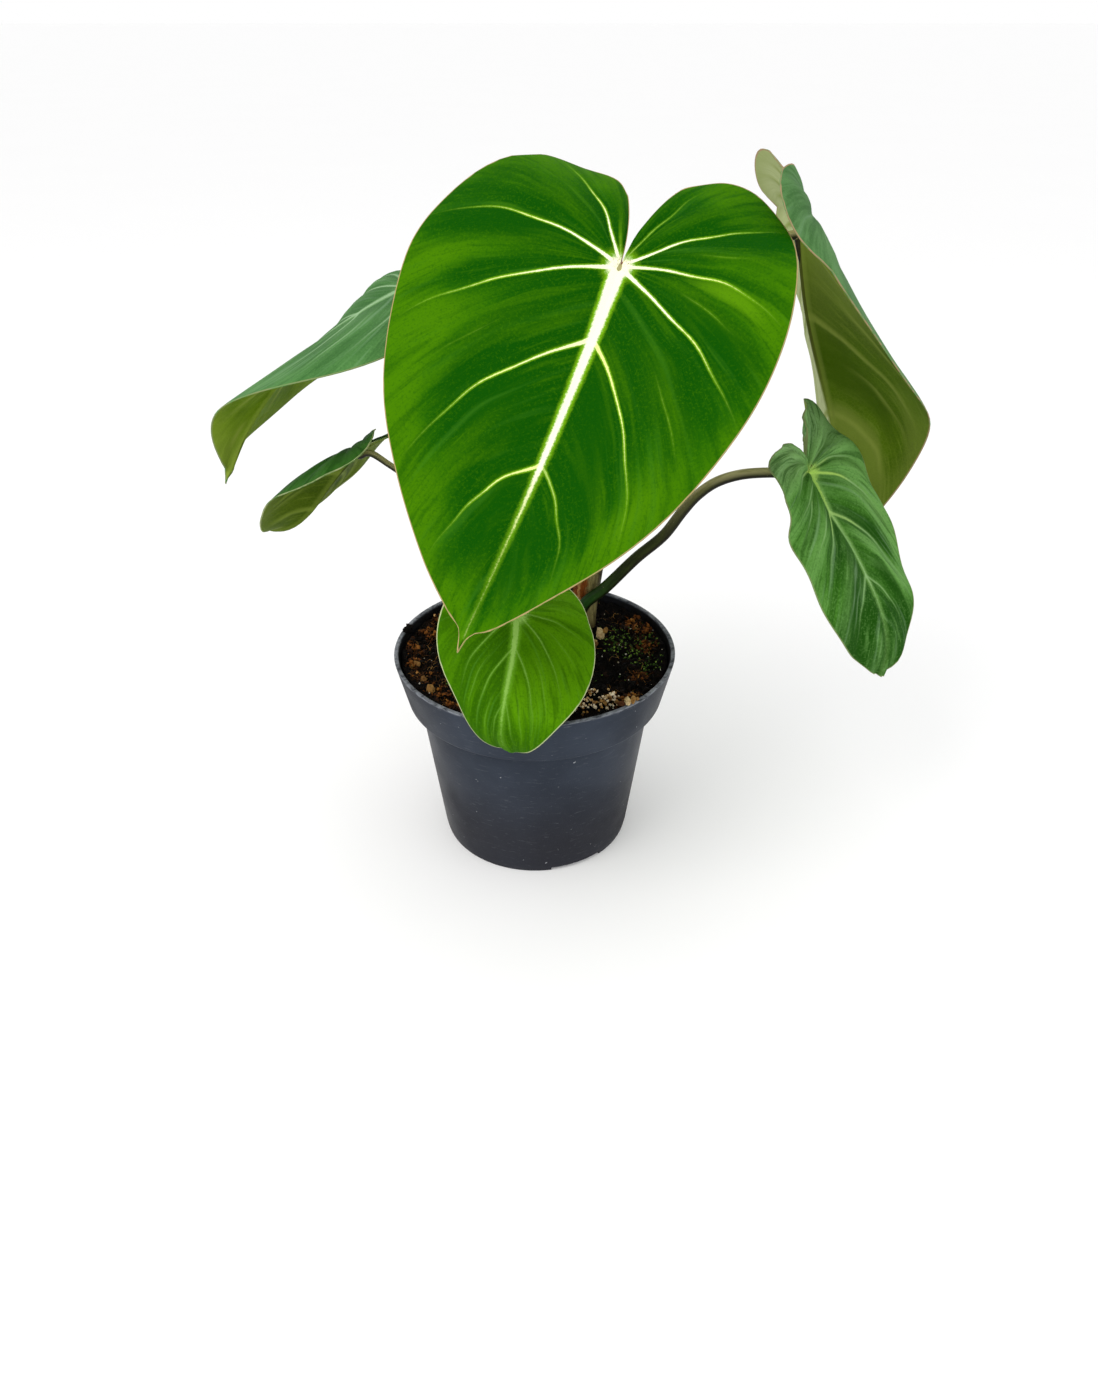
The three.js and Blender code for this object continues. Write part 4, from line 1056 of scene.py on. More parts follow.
def pot_finish(colour):
    """Slate plastic, satin, with fine grain, pale scuffs on its rim and a few specks, painted shade towards
    the bottom, on the rim's top and at the sides, a brown painted reflection at the sides, a painted
    highlight along the rim's inner edge, and a dark inner wall above the soil.
    """
    f = Finish("slate_plastic", colour)
    x, y, height = f.split(f.place)
    cloud = f.noise(28.0, 3.0)
    grain = f.noise(1600.0, 2.0, 0.7)
    scratch = f.noise(210.0, 5.0, 0.75, 0.6, place=f.vector(x, y, f.times(height, 5.0)))
    # Random darker clouds, then painted shade towards the bottom, painted shade with a brown painted
    # reflection at the left and right sides, and painted shade on the rim's top
    f.coats(
        (cloud, 0.3, 0.7, 1.0, tuple(0.72 * v for v in colour)),
        (height, 0.072, 0.01, 0.65, "272426"),
        (f.off(x, 0.002), 0.026, 0.052, 0.5, "201c19"),
        (height, 0.0900, 0.0909, 0.6, "17181b"),
    )
    rim = f.span(height, 0.0885, 0.0905)
    scuff = f.times(f.span(scratch, 0.56, 0.7), f.most(f.times(rim, 0.6), 0.06))
    dust = f.span(f.noise(460.0, 2.0), 0.75, 0.8, 0.0, 0.7)
    f.coat(f.most(scuff, dust), "b9bcc0")
    radius = f.calc("SQRT", f.plus(f.calc("POWER", x, 2.0), f.calc("POWER", y, 2.0)))
    # Painted highlight along the rim's inner edge, broken up by the scratches
    rim_highlight = f.times(f.span(radius, 0.0574, 0.0583), f.span(height, 0.0899, 0.0908))
    f.coat(f.times(rim_highlight, f.span(scratch, 0.36, 0.6, 0.1, 0.8)), "8a8e96")
    wall = f.scaled(height, 0.196, 0.0411)
    inside = f.times(f.span(f.calc("SUBTRACT", radius, wall), 0.0, -0.0005), f.span(height, 0.0904, 0.0896))
    inside = f.times(inside, f.span(height, 0.0712, 0.0726))
    f.coat(f.times(inside, f.span(f.noise(160.0, 3.0), 0.3, 0.62, 0.97, 0.8)), "0d0b08")
    rough = f.span(f.plus(cloud, f.times(scuff, 0.4)), 0.3, 0.8, 0.34, 0.58)
    return f.finish(rough, grain, 0.05, specular_ior_level=0.05)


def soil_finish():
    f = Finish("peat")
    lump = f.noise(190.0, 4.0, 0.65)
    fine = f.noise(1100.0, 3.0, 0.7)
    f.colour = f.steps(lump, [(0.30, "020202"), (0.54, "080503"), (0.66, "1a0f08"), (0.82, "38200f")])
    f.coats((fine, 0.68, 0.78, 0.4, "5a4028"))
    return f.finish(0.95, f.plus(lump, f.times(fine, 0.6)), 1.0, specular_ior_level=0.08)


def crumb_finish(name, stops, rough, scale, relief):
    """Finish of loose bits, each coloured by its own tint."""
    f = Finish(name)
    grain = f.noise(scale, 3.0, 0.65)
    f.colour = f.steps(f.plus(f.fact("tint"), f.scaled(grain, 0.3, -0.15)), stops)
    return f.finish(rough, grain, relief, specular_ior_level=0.12)


def stalk_finish():
    """Olive stalk with fine lengthwise streaks, painted shade beneath and a painted tan highlight on its
    upper side.
    """
    f = Finish("stalk_skin")
    share, turn, tone = f.facts("share", "turn", "tone")
    streak = f.noise(2.4, 4.0, 0.6, place=f.grain(turn, 3.0, share, 5.0, tone))
    fleck = f.noise(700.0, 2.0, 0.7)
    light_from_above = f.split(f.node("ShaderNodeNewGeometry").outputs["Normal"])[2]
    streaky = f.span(streak, 0.3, 0.7)
    f.colour = f.mix(streaky, "1f240c", "343c16")
    f.coat(f.span(share, 0.42, 0.12), f.mix(streaky, "0c2c06", "1c4812"))
    # Painted highlight in tan on the upper side, strongest towards the blade
    tan = f.mix(f.span(streak, 0.35, 0.65), "bdb684", "96925a")
    f.coat(f.times(f.span(light_from_above, -0.35, 0.75), f.span(share, 0.45, 0.8, 0.0, 0.9)), tan)
    # Painted shade on the underside, and pale flecks
    f.coats((light_from_above, 0.15, -0.4, 0.8, "160f06"), (fleck, 0.66, 0.74, 0.4, "a09a72"))
    height = f.plus(streak, f.times(fleck, 0.5))
    return f.finish(f.span(fleck, 0.3, 0.7, 0.4, 0.55), height, 0.15, specular_ior_level=0.12)


def bark_finish():
    f = Finish("stem_bark")
    coarse = f.noise(260.0, 4.0, 0.65)
    fine = f.noise(1300.0, 3.0, 0.7)
    rings = f.calc("SINE", f.times(f.fact("share"), STEM_RINGS))
    f.colour = f.steps(coarse, [(0.3, "231a10"), (0.5, "4a3a20"), (0.72, "6b5b34")])
    f.coats((rings, 0.75, 1.0, 0.6, "8a7850"))
    return f.finish(0.9, f.plus(coarse, f.scaled(fine, 0.5, f.times(rings, 0.2))), 0.7)


def sheath_finish():
    """Papery sheath: rust brown on one side with a painted pale highlight streak, olive tan on the other with
    painted shade along its far edge.
    """
    f = Finish("dry_sheath")
    turn, share = f.facts("turn", "share")
    fibre = f.noise(2.5, 5.0, 0.65, place=f.grain(turn, 16.0, share, 1.6))
    streaky = f.span(fibre, 0.3, 0.7)
    blot = f.noise(240.0, 3.0)
    shift = f.plus(turn, f.scaled(blot, 0.2, -0.1))
    f.colour = f.mix(streaky, "5a2a0c", "945018")
    f.coats(
        (shift, 0.46, 0.58, 1.0, f.mix(streaky, "6b5f34", "a39a66")),
        # Painted highlight: a pale streak on the rust side
        (f.off(shift, 0.36), 0.05, 0.01, 0.8, "c09058"),
        # Painted shade along the far edge of the olive side
        (shift, 0.66, 0.84, 0.85, "2a220e"),
        (blot, 0.62, 0.72, 0.7, "4a2412"),
        (share, 0.22, 0.0, 0.7, "38200f"),
    )
    return f.finish(f.span(blot, 0.3, 0.7, 0.5, 0.75), fibre, 0.5, specular_ior_level=0.15)


def floor_finish(colour):
    f = Finish("studio_floor", colour)
    f.coat(f.noise(3.0, 2.0), tuple(0.985 * v for v in colour))
    return f.finish(0.85, specular_ior_level=0.1, emission_color=(1, 1, 1, 1), emission_strength=0.12)


def bpy_colour(label, text, default):
    return FloatVectorProperty(
        name=label, description=text, subtype="COLOR", size=3, min=0, max=1, default=default,
    )


class PotLook(bpy.types.PropertyGroup):
    segments: IntProperty(name="Segments", description="Faces round the pot", default=216, min=48)
    colour: bpy_colour("Pot colour", "Slate plastic of the pot", shade("363d49"))


class SoilLook(bpy.types.PropertyGroup):
    rings: IntProperty(name="Rings", description="Rings of the soil's surface", default=110, min=20)
    crumbs: IntProperty(name="Crumbs", description="Loose crumbs of peat and bark", default=5600, min=0)
    fibres: IntProperty(name="Fibres", description="Coir fibres on the soil", default=760, min=0)


class LeafLook(bpy.types.PropertyGroup):
    thickness: FloatProperty(
        name="Blade thickness", description="Thickness of a leaf between its veins",
        default=0.0006, min=0.0002, unit="LENGTH",
    )
    # Strength of the painted shade and light beside the veins of the blades
    painted_light_and_shade: FloatProperty(
        name="Hollows", description="How dark the upper face is beside its veins",
        default=1.0, min=0, max=1.5, subtype="FACTOR",
    )


class StudioLook(bpy.types.PropertyGroup):
    floor: bpy_colour("Floor colour", "Pale floor under the plant", (0.86, 0.86, 0.86))
    key: FloatProperty(name="Key light", description="Power of the soft light", default=4.5, unit="POWER")
    fill: FloatProperty(name="Fill light", description="Power of the side light", default=0.8, unit="POWER")
    sky: FloatProperty(name="Surroundings", description="Brightness of the surroundings", default=1.0, min=0)


def rounded_outline(corners, steps=5):
    """Outline through corners, each cut back and rounded by its own radius."""
    out = []
    for i, (x, y, radius) in enumerate(corners):
        here = np.array((x, y), float)
        if radius == 0 or i in (0, len(corners) - 1):
            out.append(here)
            continue
        back = np.array(corners[i - 1][:2], float) - here
        ahead = np.array(corners[i + 1][:2], float) - here
        reach = min(radius, 0.45 * np.linalg.norm(back), 0.45 * np.linalg.norm(ahead))
        start = here + back / np.linalg.norm(back) * reach
        stop = here + ahead / np.linalg.norm(ahead) * reach
        for s in np.linspace(0, 1, steps):
            out.append((1 - s) ** 2 * start + 2 * s * (1 - s) * here + s * s * stop)
    return np.array(out)


def cut_away(mesh, cutters):
    """The mesh with the cutters' shapes taken out."""
    tools = bmesh.new()
    for points, faces in cutters:
        verts = [tools.verts.new(p) for p in points]
        for face in faces:
            tools.faces.new([verts[k] for k in face])
    bmesh.ops.recalc_face_normals(tools, faces=tools.faces)
    tool_mesh = bpy.data.meshes.new("cut_tools")
    tools.to_mesh(tool_mesh)
    tools.free()
    target = bpy.data.objects.new("cut_target", mesh)
    tool = bpy.data.objects.new("cut_tools", tool_mesh)
    for made in (target, tool):
        bpy.context.scene.collection.objects.link(made)
    change = target.modifiers.new("cut", "BOOLEAN")
    change.operation = "DIFFERENCE"
    change.solver = "EXACT"
    change.object = tool
    result = bpy.data.meshes.new_from_object(target.evaluated_get(bpy.context.evaluated_depsgraph_get()))
    bpy.data.objects.remove(target)
    bpy.data.objects.remove(tool)
    return result


def prism(place, size):
    """Points in metres and faces of an upright prism. place gives its loop of corners at a height."""
    loops = [*place(size["low"]), *place(size["high"])]
    count = len(loops) // 2
    sides = [(k, (k + 1) % count, count + (k + 1) % count, count + k) for k in range(count)]
    return [p * MM for p in loops], [*sides, tuple(range(count)), tuple(range(count, 2 * count))]


def pot_cutters():
    """Prisms of the drain holes and of the gaps in the pot's foot."""
    cutters = []
    for i in range(DRAIN["count"]):
        angle = 2 * math.pi * (i + 0.5) / DRAIN["count"]
        centre = Vector((DRAIN["ring"] * math.cos(angle), DRAIN["ring"] * math.sin(angle), 0))

        def hole(z, centre=centre):
            turns = [2 * math.pi * k / DRAIN["sides"] for k in range(DRAIN["sides"])]
            radius = DRAIN["radius"]
            return [centre + Vector((radius * math.cos(a), radius * math.sin(a), z)) for a in turns]

        cutters.append(prism(hole, DRAIN))
    for i in range(FOOT_GAP["count"]):
        angle = math.radians(FOOT_GAP["first"]) + 2 * math.pi * i / FOOT_GAP["count"]
        out = Vector((math.cos(angle), math.sin(angle), 0))
        side = Vector((-out.y, out.x, 0)) * FOOT_GAP["width"] / 2

        def gap(z, out=out, side=side):
            near, far = FOOT_GAP["inner"], FOOT_GAP["outer"]
            corners = ((near, -1), (far, -1), (far, 1), (near, 1))
            return [out * r + side * s + Vector((0, 0, z)) for r, s in corners]

        cutters.append(prism(gap, FOOT_GAP))
    return cutters


class GLORIOSUM_OT_pot(bpy.types.Operator):
    """Turns the nursery pot, with its rolled band, ledge, foot gaps and drain holes"""
    bl_idname = "gloriosum.pot"
    bl_label = "Pot"

    def execute(self, context):
        look = context.scene.gloriosum_pot
        outline = rounded_outline(POT_OUTSIDE + POT_INSIDE)
        angle = 2 * np.pi * np.arange(look.segments) / look.segments
        rings = ring_points(outline[1:-1, 0], angle, outline[1:-1, 1])
        points, faces = capped_rings(rings, outline[0, 1], outline[-1, 1])
        mesh = bpy.data.meshes.new("pot_shell")
        mesh.from_pydata((points * MM).tolist(), [], faces)
        mesh = cut_away(mesh, pot_cutters())
        mesh.name = "pot_shell"
        mesh.materials.clear()
        mesh.polygons.foreach_set("use_smooth", np.ones(len(mesh.polygons), bool))
        mesh.set_sharp_from_angle(angle=math.radians(SHARP_ANGLE))
        place_piece("pot_shell", mesh, [pot_finish(tuple(look.colour))], ["pot"])
        return {"FINISHED"}


class GLORIOSUM_OT_soil(bpy.types.Operator):
    """Fills the pot with rough peat"""
    bl_idname = "gloriosum.soil"
    bl_label = "Soil"

    def execute(self, context):
        rings = context.scene.gloriosum_soil.rings
        segments = 3 * rings
        angle = 2 * np.pi * np.arange(segments) / segments
        top = ring_points(SOIL_TOP_RADIUS * np.arange(1, rings + 1) / rings, angle, np.zeros(rings))
        x, y = top[..., 0], top[..., 1]
        relief = np.array([[soil_relief(a, b) for a, b in zip(*row)] for row in zip(x, y)])
        top = np.stack([x, y, soil_height(x, y) + relief], -1)
        side = ring_points(SOIL_SIDE[:, 0], angle, SOIL_SIDE[:, 1])
        middle = float(soil_height(0, 0)) + soil_relief(0, 0)
        points, faces = capped_rings(np.concatenate([top, side]), middle, SOIL_SIDE[-1, 1], turned=True)
        make_piece("peat", points, faces, [soil_finish()], ["soil"])
        return {"FINISHED"}


def ball(detail):
    made = bmesh.new()
    bmesh.ops.create_icosphere(made, subdivisions=detail, radius=1)
    points = np.array([v.co for v in made.verts])
    faces = np.array([[v.index for v in face.verts] for face in made.faces])
    made.free()
    return points, faces


def rotations(rng, count):
    """Random rotations."""
    q = rng.normal(size=(count, 4))
    q /= np.linalg.norm(q, axis=1, keepdims=True)
    w, x, y, z = q.T
    return np.stack([
        1 - 2 * (y * y + z * z), 2 * (x * y - z * w), 2 * (x * z + y * w),
        2 * (x * y + z * w), 1 - 2 * (x * x + z * z), 2 * (y * z - x * w),
        2 * (x * z - y * w), 2 * (y * z + x * w), 1 - 2 * (x * x + y * y),
    ], -1).reshape(-1, 3, 3)


def lumps(rng, places, sizes, detail, stretch, rough):
    """Crumpled balls at the places, as points, faces and the number of each point's ball."""
    base, faces = ball(detail)
    count = len(places)
    points = base[None] * (1 + rng.normal(0, rough, (count, len(base))))[..., None]
    points = points * (sizes[:, None] * rng.uniform(*stretch, (count, 3)))[:, None]
    points = np.einsum("nij,nkj->nki", rotations(rng, count), points) + places[:, None]
    faces = (faces[None] + (np.arange(count) * len(base))[:, None, None]).reshape(-1, 3)
    return points.reshape(-1, 3), faces.tolist(), np.repeat(np.arange(count), len(base))


def on_soil(x, y, lift=0.0):
    """Places on the rough surface of the soil, or lifted over it."""
    relief = np.array([soil_relief(a, b) for a, b in zip(x, y)])
    return np.stack([x, y, soil_height(x, y) + relief + lift], -1)


def scatter(rng, count, reach=BITS_REACH):
    angle = rng.uniform(0, 2 * np.pi, count)
    radius = reach * np.sqrt(rng.uniform(0, 1, count))
    return radius * np.cos(angle), radius * np.sin(angle)


def near_places(rng, count, places):
    pick = rng.integers(0, len(places), count)
    spots = np.array(places, float)[pick]
    x = spots[:, 0] + rng.normal(0, 1, count) * spots[:, 2]
    y = spots[:, 1] + rng.normal(0, 1, count) * spots[:, 2]
    inside = np.hypot(x, y) < PLACED_REACH
    return x[inside], y[inside]


def closeness(x, y, places):
    return sum(np.exp(-((x - a) ** 2 + (y - b) ** 2) / (2 * s * s)) for a, b, s in places)


def strew(name, heap, tint, stops, finish=(0.9, 900.0, 0.3), flat=True):
    """One piece from a heap of bits with a tint each. finish is its roughness, grain and relief."""
    points, faces, owner = heap
    made = crumb_finish(name, stops, *finish)
    make_piece(name, points, faces, [made], values={"tint": tint[owner]}, flat=flat)


class GLORIOSUM_OT_soil_bits(bpy.types.Operator):
    """Strews crumbs, bark, coir fibres, grains and specks of moss over the soil"""
    bl_idname = "gloriosum.soil_bits"
    bl_label = "Soil bits"

    def crumbs(self, rng, count):
        x, y = np.hstack([scatter(rng, count), near_places(rng, count // 3, RUSTY_PLACES)])
        size = 0.22 + 0.4 * rng.power(0.7, len(x)) ** 2 + 0.6 * (rng.uniform(size=len(x)) > 0.97)
        rust = np.minimum(closeness(x, y, RUSTY_PLACES), 1)
        tint = 0.8 * rng.beta(1.2, 5.0, len(x)) + 0.5 * rust * rng.uniform(0.1, 1.5, len(x))
        heap = lumps(rng, on_soil(x, y, 0.25 * size), size, 1, (0.35, 1.5), 0.24)
        strew("peat_crumbs", heap, tint, PEAT_STOPS)

    def clumps(self, rng):
        x, y = near_places(rng, GATHERED["clumps"], [(a, b, 0.62 * s) for a, b, s in RUSTY_PLACES])
        size = rng.uniform(0.3, 0.8, len(x))
        rust = np.minimum(closeness(x, y, RUSTY_PLACES), 1)
        lift = rust * rng.uniform(0.1, 2.6, len(x)) * (0.6 + 0.4 * np.sin(x * 1.7) * np.sin(y * 1.9))
        heap = lumps(rng, on_soil(x, y, lift), size, 1, (0.3, 1.7), 0.24)
        strew("rusty_clumps", heap, 0.16 + 0.3 * lift + rng.uniform(-0.12, 0.16, len(x)), CLUMP_STOPS)

    def bark(self, rng):
        near = scatter(rng, STREWN["chips"]), near_places(rng, GATHERED["chips"], RUSTY_PLACES)
        x, y = np.hstack([*near, CHUNKS[:, :2].T])
        chosen = slice(-len(CHUNKS), None)
        size = rng.uniform(0.7, 1.7, len(x))
        tint = rng.beta(1.6, 3.2, len(x)) * 0.7
        size[chosen], tint[chosen] = CHUNKS[:, 3:].T
        spots = on_soil(x, y, 0.25 * size)
        spots[chosen, 2] += CHUNKS[:, 2]
        spots[:, 2] = np.where(np.hypot(x, y) > SOIL_TOP_RADIUS, RIM_HEIGHT + 0.4 * size, spots[:, 2])
        heap = lumps(rng, spots, size, 2, (0.35, 1.25), 0.2)
        strew("bark_chips", heap, tint, BARK_STOPS, (0.85, 500.0, 0.6))

    def fibres(self, rng, count):
        near = near_places(rng, int(count * RUSTY_FIBRES), RUSTY_PLACES)
        roots = np.hstack([near, scatter(rng, int(count * (1 - RUSTY_FIBRES)), FIBRE_REACH)])
        points, faces, tint = [], [], []
        start = 0
        for root in roots.T[np.hypot(*roots) < FIBRE_REACH]:
            turn = rng.uniform(0, ANY_ANGLE)
            step = rng.uniform(2.5, 6.5)
            heading = turn + np.cumsum(rng.normal(0, 0.45, FIBRE_STEPS))
            line = np.stack([
                place + np.cumsum(way) * step / FIBRE_STEPS
                for place, way in zip(root, (np.cos(heading), np.sin(heading)))
            ], -1)
            far = np.hypot(*line.T)
            line *= (np.minimum(far, FIBRE_END_REACH) / far)[:, None]
            lift = on_soil(*line.T, 0.2)[:, 2]
            arch = np.sin(np.linspace(0, 3.1, FIBRE_STEPS))
            lift = np.maximum(lift, lift.max() - 1.2) + rng.uniform(0, 0.8) * arch
            radii = np.linspace(0.12, 0.05, FIBRE_STEPS) * rng.uniform(0.6, 1.5)
            ring, sides = tube(np.column_stack([line, lift]), radii, 4)
            points.append(ring)
            faces += [[k + start for k in face] for face in sides]
            tint += [rng.uniform(0.5, 0.95)] * len(ring)
            start += len(ring)
        heap = np.concatenate(points), faces, slice(None)
        strew("coir_fibres", heap, np.array(tint), PEAT_STOPS, (0.7, 700.0, 0.1), flat=False)

    def grains(self, rng):
        x, y = near_places(rng, GATHERED["grains"], GRAIN_PLACES)
        size = rng.uniform(0.4, 0.75, len(x))
        spots = on_soil(x, y, rng.uniform(0.2, 1.2, len(x)))
        spots[:, 2] += 1.6 * closeness(x, y, GRAIN_PLACES)
        heap = lumps(rng, spots, size, 1, (0.75, 1.25), 0.08)
        strew("gold_grains", heap, rng.beta(0.8, 0.9, len(x)), GRAIN_STOPS, (0.6, 900.0, 0.2), flat=False)

    def pale_bits(self, rng):
        x, y = np.hstack([scatter(rng, STREWN["pale"]), [[PALE_BIT["x"]], [PALE_BIT["y"]]]])
        size = rng.uniform(0.18, 0.5, len(x))
        size[-1] = PALE_BIT["size"]
        heap = lumps(rng, on_soil(x, y, 0.45), size, 1, (0.4, 1.4), 0.15)
        strew("pale_bits", heap, rng.uniform(0, 1, len(x)), PALE_STOPS, (0.8, 900.0, 0.1))

    def moss(self, rng):
        x, y = np.hstack([near_places(rng, GATHERED["moss"], MOSSY_PLACES), scatter(rng, STREWN["moss"])])
        size = rng.uniform(0.22, 0.55, len(x))
        heap = lumps(rng, on_soil(x, y, 0.35), size, 1, (0.5, 1.3), 0.2)
        strew("moss_specks", heap, rng.beta(1.5, 2.0, len(x)), MOSS_STOPS, (0.8, 1200.0, 0.2))

    def execute(self, context):
        look = context.scene.gloriosum_soil
        rng = np.random.default_rng(SOIL_SEED)
        self.crumbs(rng, look.crumbs)
        self.clumps(rng)
        self.bark(rng)
        self.fibres(rng, look.fibres)
        self.grains(rng)
        self.pale_bits(rng)
        self.moss(rng)
        return {"FINISHED"}


class GLORIOSUM_OT_stem(bpy.types.Operator):
    """Lays the ringed creeping stem half into the soil"""
    bl_idname = "gloriosum.stem"
    bl_label = "Creeping stem"

    def execute(self, context):
        points, share = rounded_path(STEM_PATH, STEM_STEPS)
        radii = glide(np.linspace(0, 1, len(STEM_RADII)), STEM_RADII, share)
        radii *= 1 + 0.035 * np.cos(share * STEM_RINGS) ** 8
        radii *= np.minimum(1, np.minimum(share, 1 - share) / 0.06 * 0.5 + 0.5) ** 0.7

        def bumps(i, angle):
            places = [Vector((2.2 * math.cos(a), 2.2 * math.sin(a), i * 0.13)) for a in angle]
            return np.array([1 + 0.07 * noise.noise(place) - 0.04 for place in places])

        ring, faces = tube(points, radii, STEM_SIDES, bumps)
        facts = {"share": np.repeat(share, STEM_SIDES)}
        make_piece("rooting_stem", ring, faces, [bark_finish()], ["creeping_stem"], facts)
        return {"FINISHED"}


class GLORIOSUM_OT_sheath(bpy.types.Operator):
    """Wraps the dry papery sheath round the large leaf's stalk"""
    bl_idname = "gloriosum.sheath"
    bl_label = "Dry sheath"

    def execute(self, context):
        path, _ = rounded_path(LEAVES["leaf_large"]["route"], SHEATH["path_steps"])
        rows, columns = SHEATH["rows"], SHEATH["columns"]
        share = np.linspace(0, 1, rows)
        z = SHEATH["base"] + (SHEATH["top"] - SHEATH["base"]) * share
        centre = along_path(z, path[:, 2], path[:, :2])
        spread = np.radians(SHEATH["wrap"] + (SHEATH["tip"] - SHEATH["wrap"]) * share**2.2) / 2
        across = np.linspace(-1, 1, columns)
        angle = math.radians(SHEATH["facing"]) + spread[:, None] * across
        crease = np.array([
            [0.35 * noise.noise(Vector((5 * a, s * 3, 1.3))) * min(1, s * 4) - 0.15 for a in across]
            for s in share
        ])
        sides = []
        for inset in (SHEATH["outer"], SHEATH["inner"]):
            reach = (SHEATH["radius"] + SHEATH["flare"] * share - inset)[:, None] + crease
            x = centre[:, 0, None] + np.cos(angle) * reach
            y = centre[:, 1, None] + np.sin(angle) * reach
            sides.append(np.stack(np.broadcast_arrays(x, y, z[:, None]), -1).reshape(-1, 3))
        grid = np.arange(rows * columns).reshape(rows, columns)
        outer = corners_of(grid)
        loop = np.concatenate([grid[0], grid[1:, -1], grid[-1, -2::-1], grid[-2:0:-1, 0]])
        parts = outer, outer[:, ::-1] + grid.size, band(loop, loop + grid.size)
        faces = [face for part in parts for face in part.tolist()]
        facts = {
            "share": np.tile(np.repeat(share, columns), 2),
            "turn": np.tile(np.tile((across + 1) / 2, rows), 2),
        }
        points = np.concatenate(sides)
        make_piece("sheath_paper", points, faces, [sheath_finish()], ["sheath"], facts)
        return {"FINISHED"}


class GLORIOSUM_OT_stalks(bpy.types.Operator):
    """Grows one stalk a leaf from the stem to the back of the blade"""
    bl_idname = "gloriosum.stalks"
    bl_label = "Leaf stalks"

    def execute(self, context):
        skin = stalk_finish()
        for number, (name, leaf) in enumerate(LEAVES.items()):
            _, _, up = headings_at(leaf, np.array([0.0, 0.04, 0.08]))
            rib = midrib_path(leaf)
            seat = np.array(leaf["junction"]) - up[0] * leaf["seat"]
            under = [rib[5] - up[1] * leaf["rib"] * 0.8, rib[9] - up[2] * leaf["rib"] * 0.5]
            points, share = rounded_path([*leaf["route"], seat], STALK_STEPS)
            first, last = leaf["radius"]
            swell = 1 + 0.10 * bell(share, 0.95, 0.03) + 0.12 * bell(share, 0.02, 0.04)
            radii = (first + (last - first) * share) * swell
            ends, _ = rounded_path([points[-1], *under], STALK_END_STEPS)
            points = np.concatenate([points, ends[1:]])
            thinning = np.linspace(radii[-1], STALK_END_RADIUS, STALK_END_STEPS)
            radii = np.concatenate([radii, thinning[1:]])
            share = np.concatenate([share, np.ones(STALK_END_STEPS - 1)])

            def furrow(i, angle, share=share):
                return 1 - 0.09 * bell(angle, 1.57, 0.5) + 0.02 * np.sin(3 * angle + 4 * share[i])

            ring, faces = tube(points, radii, STALK_SIDES, furrow)
            facts = {
                "share": np.repeat(share, STALK_SIDES),
                "turn": np.tile(np.arange(STALK_SIDES) / STALK_SIDES, len(points)),
                "tone": np.full(len(ring), float(number)),
            }
            make_piece(f"{name}_petiole", ring, faces, [skin], [f"{name}_stalk"], facts)
        return {"FINISHED"}


class GLORIOSUM_OT_blades(bpy.types.Operator):
    """Spreads the six heart-shaped blades with their veins"""
    bl_idname = "gloriosum.blades"
    bl_label = "Leaf blades"

    def execute(self, context):
        look = context.scene.gloriosum_leaves
        finishes = {
            kind: [leaf_upper(kind, c, look.painted_light_and_shade), leaf_lower(kind, c), leaf_margin(kind, c)]
            for kind, c in LEAF_COLOURS.items()
        }
        for name, leaf in LEAVES.items():
            mesh = blade_mesh(f"{name}_lamina", leaf, look.thickness / MM)
            place_piece(f"{name}_lamina", mesh, finishes[leaf["look"]], [f"{name}_blade"])
        return {"FINISHED"}


def area_light(name, power, place, target, size, colour):
    data = bpy.data.lights.new(name, "AREA")
    data.shape = "DISK"
    data.size = size
    data.energy = power
    data.color = colour
    lamp = bpy.data.objects.new(name, data)
    lamp.location = place
    lamp.rotation_euler = (Vector(target) - Vector(place)).to_track_quat("-Z", "Y").to_euler()
    bpy.context.scene.collection.objects.link(lamp)


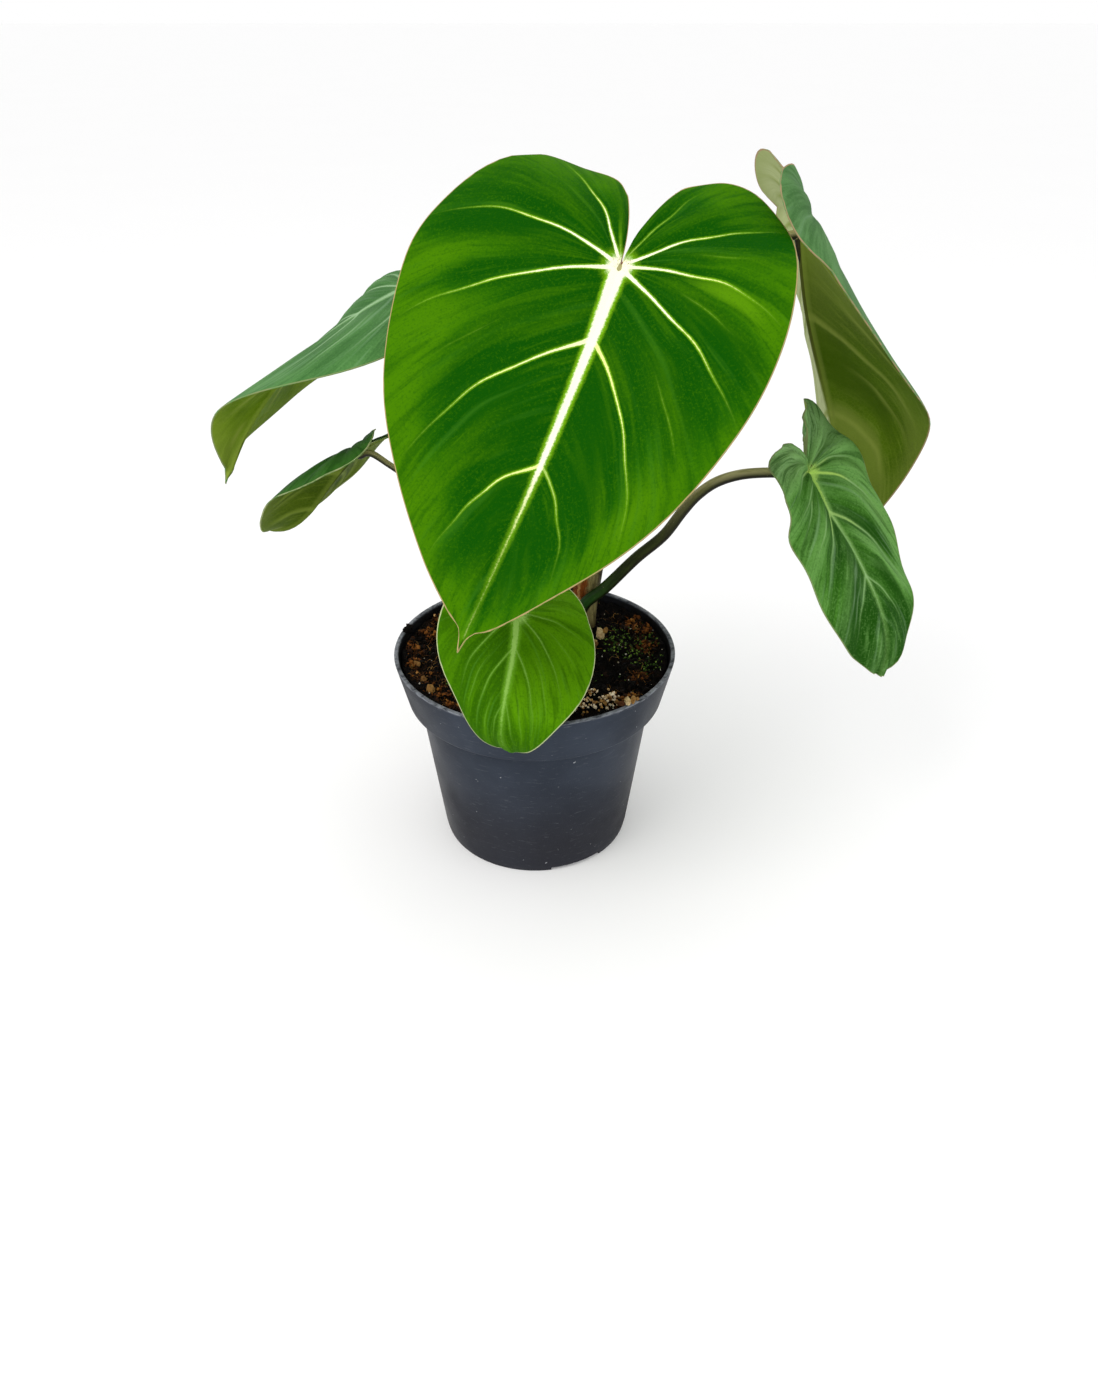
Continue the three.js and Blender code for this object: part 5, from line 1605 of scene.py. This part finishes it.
class GLORIOSUM_OT_studio(bpy.types.Operator):
    """Sets a pale floor, soft light and the camera"""
    bl_idname = "gloriosum.studio"
    bl_label = "Studio"

    def floor(self, scene, colour):
        mesh = bpy.data.meshes.new("studio_floor")
        corners = [(FLOOR_HALF * x, FLOOR_HALF * y, 0) for x, y in ((-1, -1), (1, -1), (1, 1), (-1, 1))]
        mesh.from_pydata(corners, [], [(0, 1, 2, 3)])
        mesh.materials.append(floor_finish(colour))
        floor = bpy.data.objects.new("studio_floor", mesh)
        scene.collection.objects.link(floor)

    def camera(self, scene):
        data = bpy.data.cameras.new("photo_view")
        data.sensor_width = CAMERA["sensor"]
        data.lens = CAMERA["lens"]
        data.clip_start = CAMERA["nearest"]
        camera = bpy.data.objects.new("photo_view", data)
        camera.location = CAMERA["place"]
        camera.rotation_euler = (math.radians(CAMERA["tilt"]), 0, 0)
        scene.collection.objects.link(camera)
        scene.camera = camera

    def execute(self, context):
        scene = context.scene
        look = scene.gloriosum_studio
        self.floor(scene, tuple(look.floor))
        world = bpy.data.worlds.new("studio_world")
        world.use_nodes = True
        background = world.node_tree.nodes["Background"]
        background.inputs["Color"].default_value = (1, 1, 1, 1)
        background.inputs["Strength"].default_value = look.sky
        scene.world = world
        for name, settings in LIGHTS.items():
            area_light(name, getattr(look, name), *settings)
        self.camera(scene)
        scene.view_settings.view_transform = "Standard"
        return {"FINISHED"}


OPERATORS = (
    GLORIOSUM_OT_pot, GLORIOSUM_OT_soil, GLORIOSUM_OT_soil_bits, GLORIOSUM_OT_stem, GLORIOSUM_OT_sheath,
    GLORIOSUM_OT_stalks, GLORIOSUM_OT_blades, GLORIOSUM_OT_studio,
)
GROUPS = {
    "gloriosum_pot": PotLook, "gloriosum_soil": SoilLook, "gloriosum_leaves": LeafLook,
    "gloriosum_studio": StudioLook,
}


class GLORIOSUM_PT_panel(bpy.types.Panel):
    """Lists the plant's parts and their sizes"""
    bl_label = "Potted gloriosum"
    bl_idname = "GLORIOSUM_PT_panel"
    bl_space_type = "VIEW_3D"
    bl_region_type = "UI"
    bl_category = "Plant"

    def draw(self, context):
        for operator in OPERATORS:
            self.layout.operator(operator.bl_idname)
        for key, group in GROUPS.items():
            box = self.layout.box()
            for field in group.__annotations__:
                box.prop(getattr(context.scene, key), field)


def register():
    for made in (*GROUPS.values(), *OPERATORS, GLORIOSUM_PT_panel):
        bpy.utils.register_class(made)
    for key, group in GROUPS.items():
        setattr(bpy.types.Scene, key, PointerProperty(type=group))


def unregister():
    for key in GROUPS:
        delattr(bpy.types.Scene, key)
    for made in reversed((*GROUPS.values(), *OPERATORS, GLORIOSUM_PT_panel)):
        bpy.utils.unregister_class(made)


def main():
    register()
    for operator in OPERATORS:
        group, name = operator.bl_idname.split(".")
        getattr(getattr(bpy.ops, group), name)()
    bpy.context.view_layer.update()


if __name__ == "__main__":
    main()
